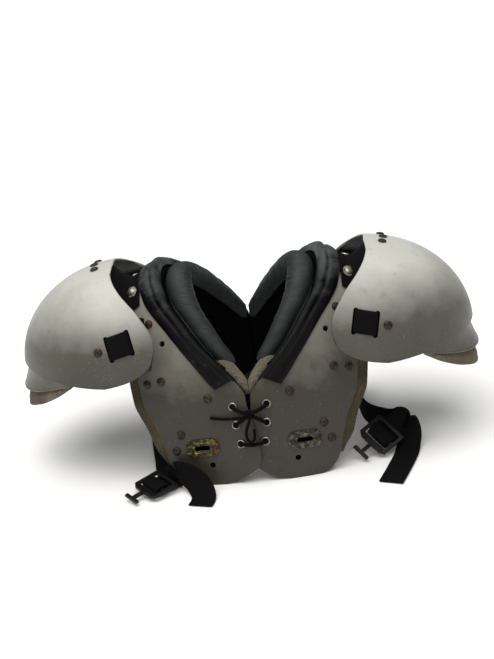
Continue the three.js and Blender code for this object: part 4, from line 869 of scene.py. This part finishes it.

# Cap loops: a band of the same web from the plate through the lobe's inner slot, over the bridge
# and back in through the outer slot, front and back. Behind the slots a wider flap of the same
# black web is painted shade: it stands in for the shade inside the cap, so they look black.
loop_width, loop_thickness, loop_height, loop_columns = 22, 1.6, 160, 11
loop_start, loop_step = 106, 4
loop_rise, loop_inside = loop_thickness / 2 + seat_gap, -cap_wall - dome_gap - loop_thickness / 2
flap_width, flap_reach, flap_rows, flap_depth = 33, 0.8, 9, loop_inside - 1.4 * loop_thickness
loop_route = [
    (-0.62, loop_inside - 3), (-0.5, loop_inside * 0.7), (-0.5, loop_rise * 0.4), (-0.4, loop_rise),
    (-0.15, loop_rise + 0.2), (0.15, loop_rise + 0.2), (0.4, loop_rise), (0.5, loop_rise * 0.4),
    (0.5, loop_inside * 0.7), (0.62, loop_inside), (1, loop_inside), (1.45, loop_inside),
]
for name, sign in sides.items():
    for face, label in ((-1, "front"), (1, "back")):
        stations = [("plate", loop_start + loop_step * n, seat_gap + loop_thickness / 2, 0, 1)
                    for n in (0, 1)]
        for k, (out, lift) in enumerate(loop_route):
            before, after = loop_route[max(k - 1, 0)], loop_route[min(k + 1, len(loop_route) - 1)]
            run, climb = (after[0] - before[0]) * slot_spacing, after[1] - before[1]
            length = math.hypot(run, climb)
            stations.append(("cap", out * slot_spacing, lift, -climb / length, run / length))

        def loop_grid(i, j, side):
            kind, run, height, across_run, across_lift = stations[i]
            y, lift = loop_width * (j / (loop_columns - 1) - 0.5), loop_thickness * (0.5 - side)
            if kind == "plate":
                return arch_point(sign, run, turn_at(run, loop_height + y, face > 0), height + lift)
            spot = slot_place(run + across_run * lift, y)
            return dome_seat_facing(sign, *spot, face, height + across_lift * lift)[0]

        # Painted shade: a black sheet behind the slots, standing in for the shade inside the cap.
        def slot_shade_grid(i, j, side):
            out = slot_spacing * mix(-flap_reach, flap_reach, i / (flap_rows - 1))
            spot = slot_place(out, flap_width * (j / (loop_columns - 1) - 0.5))
            return dome_seat_facing(sign, *spot, face, flap_depth + loop_thickness * (0.5 - side))[0]

        band = shell(len(stations), loop_columns, loop_grid, 0.3)
        slot_shade_flap = shell(flap_rows, loop_columns, slot_shade_grid, 0.3)
        piece(f"cap_loop_{label}_{name}", joined(band, slot_shade_flap), woven, "webbing",
              f"cap_loop_{label}_{name}", sharp=80)

# Belts: 25 mm elastic webbing riveted to each back plate. Both hang undone: each comes round the
# side over the floor, goes round the bar of its hook and ends in a loose tail.
belt_width, belt_thickness = 25.4, 2
hook_length = 34
hooks = {
    "left": {"centre": (-110, -123, 8.5), "points": (-0.77, -0.64, -0.1), "face": (0, -0.12, 1)},
    "right": {"centre": (137, -75, 19), "points": (-0.76, -0.58, -0.3), "face": (0, -0.707, 0.707)},
}
belt_turn = [
    (0.62, -0.19), (0.4, -0.18), (0.1, -0.17), (-0.12, -0.145), (-0.2, -0.06), (-0.19, 0.04),
    (-0.1, 0.1), (0, 0.107), (0.1, 0.1), (0.21, 0.04), (0.27, -0.05), (0.37, -0.1), (0.64, -0.125),
]
belt_routes = {
    "left": {
        "strap": [((-107, 104, 36), (0.1, 0.2, 1)), ((-117, 84, 27), (0.2, 0.1, 1)),
                  ((-118, 56, 16), (0.7, 0, 0.7)), ((-113, 20, 4), (1, 0, 0.1)),
                  ((-108, -20, 2), (1, 0, 0)), ((-102, -60, 5), (1, 0, 0)),
                  ((-98, -90, 7), (0.85, -0.5, 0))],
        "tail": [((-88.5, -115, 12.5), (0.7, -0.7, 0)), ((-80, -122, 20), (0.3, -0.1, 0.95)),
                 ((-66, -130, 14), (0.5, 0.3, 0.8)), ((-58, -140, 5), (0.85, 0.35, 0.4)),
                 ((-57, -152, 1.6), (1, 0.1, 0)), ((-60, -163, 1.4), (1, -0.1, 0))],
    },
    "right": {
        "strap": [((107, 104, 37), (0, 0, 1)), ((116, 86, 31), (0, 0, 1)), ((119, 60, 22), (0, 0, 1)),
                  ((120, 28, 15.5), (0, 0, 1)), ((128, -10, 15.5), (0, 0, 1)),
                  ((146, -28, 16), (0.2, -0.2, 0.95)), ((162, -38, 19), (0.5, -0.45, 0.75))],
        "tail": [((165, -57, 26), (0.75, -0.4, -0.5)), ((169, -62, 16), (0.9, -0.3, -0.2)),
                 ((167, -72, 5), (0.97, -0.25, 0)), ((163, -88, 1.6), (1, -0.25, 0)),
                 ((152, -120, 1.4), (1, -0.3, 0)), ((141, -149, 1.4), (1, -0.5, 0))],
    },
}


def hook_matrix(name):
    back = -Vector(hooks[name]["points"]).normalized()
    across = back.cross(Vector(hooks[name]["face"])).normalized()
    turned = Matrix((across, back, across.cross(back))).transposed().to_4x4()
    return Matrix.Translation(hooks[name]["centre"]) @ turned


belt_plate_from, belt_plate_to, belt_plate_height = 66, 90, 40
belt_step, belt_columns, belt_floor = 1.5, 13, 1.2
for name, sign in sides.items():
    matrix, stations = hook_matrix(name), []
    for share in (0, 0.5, 1):
        u = mix(belt_plate_from, belt_plate_to, share)
        middle, above, below = (arch_point(sign, u, turn_at(u, belt_plate_height + dz, True),
                                           2 * seat_gap + belt_thickness / 2) for dz in (0, 1, -1))
        stations.append((middle, above - below))
    stations += [(Vector(at), Vector(across)) for at, across in belt_routes[name]["strap"]]
    stations += [(matrix @ Vector((0, away * hook_length, over * hook_length)),
                  matrix.to_3x3().col[0].copy()) for away, over in belt_turn]
    stations += [(Vector(at), Vector(across)) for at, across in belt_routes[name]["tail"]]
    for k in range(1, len(stations)):
        if stations[k][1].dot(stations[k - 1][1]) < 0:
            stations[k] = (stations[k][0], -stations[k][1])
    line, across_line = smooth_line([at for at, _ in stations], belt_step), []
    for (start, across), (end, next_across) in zip(stations, stations[1:]):
        count = max(1, round((end - start).length / belt_step))
        across_line += [across.lerp(next_across, n / count) for n in range(count)]
    across_line.append(stations[-1][1])

    def belt_grid(i, j, side):
        forward = (line[min(i + 1, len(line) - 1)] - line[max(i - 1, 0)]).normalized()
        across = (across_line[i] - forward * across_line[i].dot(forward)).normalized()
        lift = across.cross(forward) * belt_thickness * (0.5 - side)
        point = line[i] + across * (j / (belt_columns - 1) - 0.5) * belt_width + lift
        point.z = max(point.z, belt_floor + lift.z)
        return point

    web = shell(len(line), belt_columns, belt_grid, 0.3)
    piece(f"belt_web_{name}", web, woven, "webbing", f"belt_{name}", sharp=80)

# Belt hooks: black acetal mouldings, a slider frame with bars and a T on a stem that goes through
# the slot of a hook plate. The outer bar is ridged for the thumb.
hook_width, hook_thickness, hook_bar, hook_rim = 38, 3.5, 5, 4
hook_stem, hook_stem_half, hook_crossbar, hook_tip = 12, 2, 20, 4
hook_bevel_out, hook_bevel_up, hook_window_start = 6, 4, 7
# Acetal as moulded: black, waxy and even, with fine dust in faint blotches.
acetal, tree, shader, place = new_material("moulded_acetal_black")
cloud = add(tree, "TexNoise", {"Scale": 160, "Detail": 5, "Roughness": 0.7}, {"Vector": place})
colour = add(tree, "ValToRGB", {"stops": [(0.4, "070708"), (0.7, "18191b")]}, {"Fac": cloud})
bump = add(tree, "Bump", {"Strength": 0.1, "Distance": 0.0003}, {"Height": cloud})
dress(shader, {"Roughness": 0.42, "IOR": 1.48, "Specular IOR Level": 0.2},
      {"Base Color": colour, "Normal": bump})


def plate_with_holes(outline, holes, low, high, matrix, soften=0.5):
    """Flat plate with holes and softened edges, from a filled curve."""
    curve = bpy.data.curves.new("outline", "CURVE")
    curve.dimensions, curve.fill_mode = "2D", "BOTH"
    curve.extrude, curve.offset = (high - low) / 2 - soften, -soften
    curve.bevel_depth, curve.bevel_resolution = soften, 2
    for loop in [outline] + holes:
        spline = curve.splines.new("POLY")
        spline.points.add(len(loop) - 1)
        for spot, (x, y) in zip(spline.points, loop):
            spot.co = (x, y, 0, 1)
        spline.use_cyclic_u = True
    holder = bpy.data.objects.new("outline", curve)
    bpy.context.scene.collection.objects.link(holder)
    mesh = bpy.data.meshes.new_from_object(holder.evaluated_get(bpy.context.evaluated_depsgraph_get()))
    shift = Matrix.Translation((0, 0, (low + high) / 2))
    body = [matrix @ shift @ v.co for v in mesh.vertices], [tuple(p.vertices) for p in mesh.polygons]
    bpy.data.objects.remove(holder)
    return body


for name in sides:
    matrix, half, end, bar = hook_matrix(name), hook_width / 2, hook_length / 2, hook_crossbar / 2
    tip, stem = -end - hook_stem, hook_stem_half
    right_side = [(stem, tip), (stem, -end), (half - hook_bevel_out, -end), (half, -end + hook_bevel_up),
                  (half, end)]
    outline = ([(-x, y) for x, y in reversed(right_side)]
               + [(-bar, tip), (-bar, tip - hook_tip), (bar, tip - hook_tip), (bar, tip)] + right_side)
    inner = half - hook_rim
    windows = [[(-inner, low), (inner, low), (inner, high), (-inner, high)]
               for low, high in ((-end + hook_window_start, -hook_bar / 2),
                                 (hook_bar / 2, end - hook_rim))]
    frame_body = plate_with_holes(outline, windows, -hook_thickness / 2, hook_thickness / 2, matrix)
    ridges = [prism(round_ended(hook_width - 10, 1), hook_thickness / 2 - 0.2, hook_thickness / 2 + 0.7,
                    matrix @ Matrix.Translation((0, y, 0))) for y in (-end + 1.6, -end + 3.5, -end + 5.4)]
    piece(f"hook_{name}", joined(frame_body, *ridges), acetal, "hook_plastic", f"belt_hook_{name}")

# Hook plates: stamped steel, one still brass and one nickel, clenched to the chest with a rivet at
# each end of the slot, which has a raised lip. Grime has settled in the tarnish.
hook_plate_length, hook_plate_width, hook_plate_thickness = 37, 19, 1.6
lip_reach, lip_half_width, lip_height = 5.2, 1.6, 0.5
# Electroplate over stamped steel: a bright metal gone dull, blotched with dark tarnish. The
# third, cleaner one is for the eyelets and washers.
platings = {}
for label, bright, dull, dark in (("brass_plate_tarnished", "766845", "493f2a", "120f09"),
                                  ("nickel_plate_tarnished", "68645a", "413e36", "100e0b"),
                                  ("nickel_plate_dull", "c6c3ba", "96928a", "4a443b")):
    platings[label], tree, shader, place = new_material(label)
    cloud = add(tree, "TexNoise", {"Scale": 240, "Detail": 6, "Roughness": 0.7}, {"Vector": place})
    colour = add(tree, "ValToRGB", {"stops": [(0.34, dark), (0.5, dull), (0.62, bright)]}, {"Fac": cloud})
    gloss = add(tree, "MapRange", {"From Min": 0.35, "From Max": 0.65, "To Min": 0.55, "To Max": 0.28},
                {"Value": cloud})
    bump = add(tree, "Bump", {"Strength": 0.15, "Distance": 0.0002}, {"Height": cloud})
    dress(shader, {"Metallic": 0.85}, {"Base Color": colour, "Roughness": gloss, "Normal": bump})
for name, sign in sides.items():
    matrix = on_plate(sign, hook_plate_at, lift=small_gap, spin=hook_plate_spins[name])
    outline = round_ended(hook_plate_length, hook_plate_width)
    slot = round_ended(hook_slot_length, hook_slot_width)
    stamped = plate_with_holes(outline, [slot], 0, hook_plate_thickness, matrix, 0.35)
    lip = []
    for inset, lift in ((lip_half_width, -0.1), (0, lip_height), (-lip_half_width, -0.1)):
        ring = round_ended(hook_slot_length + lip_reach + inset, hook_slot_width + lip_reach + inset)
        lip += [matrix @ Vector((x, y, hook_plate_thickness + lift)) for x, y in ring]
    plating = "brass" if name == "left" else "nickel"
    piece(f"stamped_hook_plate_{name}", joined(stamped, (lip, ring_faces(3, len(ring), True))),
          platings[plating + "_plate_tarnished"], plating, f"hook_plate_{name}")

# Eyelets: rolled nickel-plated barrels through the chest and back edges for the lace, three to
# each edge of a plate. Their flanges are rounded over and stand 1.6 mm off the sheet.
eyelet_profile = [(3.2, -4), (3.8, -4), (3.8, 0.3), (4.8, 0.3), (4.75, 0.75), (4.5, 1.25), (4.1, 1.6),
                  (3.7, 1.65), (3.35, 1.4), (3.2, 1), (3.2, -4)]


def lathe(profile, matrix, around=28):
    """Turned piece round a matrix's Z axis, from (radius, height) pairs that may meet in a loop."""
    closed = profile[0] == profile[-1]
    points = []
    for radius, z in profile[:-1] if closed else profile:
        radius = max(radius, 1e-3)
        for k in range(around):
            angle = 2 * math.pi * k / around
            points.append(matrix @ Vector((radius * math.cos(angle), radius * math.sin(angle), z)))
    return points, ring_faces(len(points) // around, around, closed)


for name, sign in sides.items():
    for back in (False, True):
        lift = seat_gap if name == "left" and not back else 0
        for n, row in enumerate(eyelets):
            label = f"{'back' if back else 'front'}_{name}_{n + 1}"
            piece(f"lace_{label}", lathe(eyelet_profile, on_plate(sign, row, back, lift)),
                  platings["nickel_plate_dull"], "nickel", f"eyelet_{label}")

# Rivets: semi-tubular bronze-plated steel, headed outside and clenched inside. Those of the
# plates hold the lining's tapes and the belts, those of the caps the loops and webbing.
rivet_radius, rivet_height = 4.7, 2.2
hook_rivet_radius, hook_rivet_height, hook_rivet_out = 2.9, 1.3, 14.2
rivet_profile = [(0, 0), (1, 0), (1, 0.45), (0.93, 1.05), (0.76, 1.6), (0.48, 2.05), (0, 2.2)]
plate_rivets = table("u height", (93, 110), (77, 55), (44, 93))
edge_rivets = table("u height", (101, 166), (106, 124), (109, 106), (84, 37))
cap_rivets = table("u y", (158, -8), (160, 8), (158, 25))
webbing_rivets = table("u y", (117, -22), (117, 20))
washered_profile = [(0, 0.3), (6.6, 0.3), (6.6, 0.9), (6.3, 1.3), (5.1, 1.35), (4.7, 1.3), (4.6, 1.7),
                    (4.1, 2.3), (3.1, 2.8), (1.6, 3.1), (0, 3.16)]
# Bronze plate over steel, oxidised: dark brown, with the metal showing through in specks.
rivet_bronze, tree, shader, place = new_material("bronze_plate_oxidised")
cloud = add(tree, "TexNoise", {"Scale": 420, "Detail": 5, "Roughness": 0.7}, {"Vector": place})
colour = add(tree, "ValToRGB", {"stops": [(0.35, "120e0c"), (0.5, "2e241d"), (0.66, "584639")]},
             {"Fac": cloud})
bump = add(tree, "Bump", {"Strength": 0.25, "Distance": 0.0002}, {"Height": cloud})
dress(shader, {"Metallic": 0.6, "Roughness": 0.5}, {"Base Color": colour, "Normal": bump})


def rivet_head(radius, height, lift, matrix, around=28):
    return lathe([(r * radius, lift + z / 2.2 * height) for r, z in rivet_profile], matrix, around)


def rivet(name, matrix, *nodes):
    piece(name, rivet_head(rivet_radius, rivet_height, small_gap, matrix), rivet_bronze, "bronze", *nodes)


for name, sign in sides.items():
    for n, row in enumerate(plate_rivets):
        rivet(f"chest_rivet_{name}_{n + 1}", on_plate(sign, row), f"plate_rivet_{name}_{n + 1}")
    for n, row in enumerate(edge_rivets):
        if n != 1 or name == "left":
            rivet(f"edge_rivet_{name}_{n + 1}", on_plate(sign, row))
    matrix = on_plate(sign, hook_plate_at, lift=small_gap, spin=hook_plate_spins[name])
    heads = [rivet_head(hook_rivet_radius, hook_rivet_height, hook_plate_thickness - 0.1,
                        matrix @ Matrix.Translation((x, 0, 0)), 20)
             for x in (-hook_rivet_out, hook_rivet_out)]
    piece(f"hook_plate_rivets_{name}", joined(*heads), rivet_bronze, "bronze")
    for n, row in enumerate(cap_rivets):
        matrix = seat_matrix(*dome_seat_over(sign, row["u"], row["y"]))
        rivet(f"top_rivet_{name}_{n + 1}", matrix, f"cap_rivet_{name}_{n + 1}")
    seat = dome_seat_facing(sign, cap_centre + slot_spacing, slot_height - 5, -1, -small_gap)
    rivet(f"side_rivet_{name}", seat_matrix(*seat), f"loop_rivet_{name}")
    for n, row in enumerate(webbing_rivets):
        seat = arch_seat(sign, row["u"], turn_over(row["u"], row["y"]), 2 * seat_gap + webbing_thickness)
        piece(f"web_rivet_{name}_{n + 1}", lathe(washered_profile, seat_matrix(*seat)),
              platings["nickel_plate_dull"], "nickel", f"webbing_rivet_{name}_{n + 1}")

# Floor and light: a plain white floor under broad soft light from above and a little to the
# front, with one round lamp over the chest for the shine.
floor_reach, floor_height = 30, -0.0004
floor_mesh = bpy.data.meshes.new("floor")
corners = [(x * floor_reach, y * floor_reach, floor_height)
           for x, y in ((-1, -1), (1, -1), (1, 1), (-1, 1))]
floor_mesh.from_pydata(corners, [], [(0, 1, 2, 3)])
floor = bpy.data.objects.new("floor", floor_mesh)
bpy.context.scene.collection.objects.link(floor)
floor_paint, tree, shader, place = new_material("matt_white_floor")
dress(shader, {"Roughness": 1, "Base Color": linear("fdfdfd"), "Specular IOR Level": 0}, {})
floor_mesh.materials.append(floor_paint)
world = bpy.data.worlds.new("studio")
world.use_nodes = True
dress(world.node_tree.nodes["Background"], {"Color": linear("f4f6f8"), "Strength": 0.45}, {})
bpy.context.scene.world = world
for label, kind, energy, tint in (("sky", "SUN", 2.35, "fffdf9"), ("key", "AREA", 5, "fffaf4")):
    lamp = bpy.data.objects.new(label, bpy.data.lights.new(label, kind))
    lamp.data.energy, lamp.data.color = energy, linear(tint)[:3]
    lamp.rotation_mode = "QUATERNION"
    bpy.context.scene.collection.objects.link(lamp)
    if kind == "SUN":
        lamp.data.angle, towards = math.radians(80), Vector((0.1, 0.12, -1))
    else:
        lamp.data.shape, lamp.data.size, lamp.location = "DISK", 0.8, (-0.35, -0.3, 1.9)
        towards = Vector((0, 0, 0.1)) - lamp.location
    lamp.rotation_quaternion = towards.to_track_quat("-Z", "Y")
bpy.context.scene.view_settings.view_transform = "Standard"
bpy.context.scene.view_settings.look = "None"
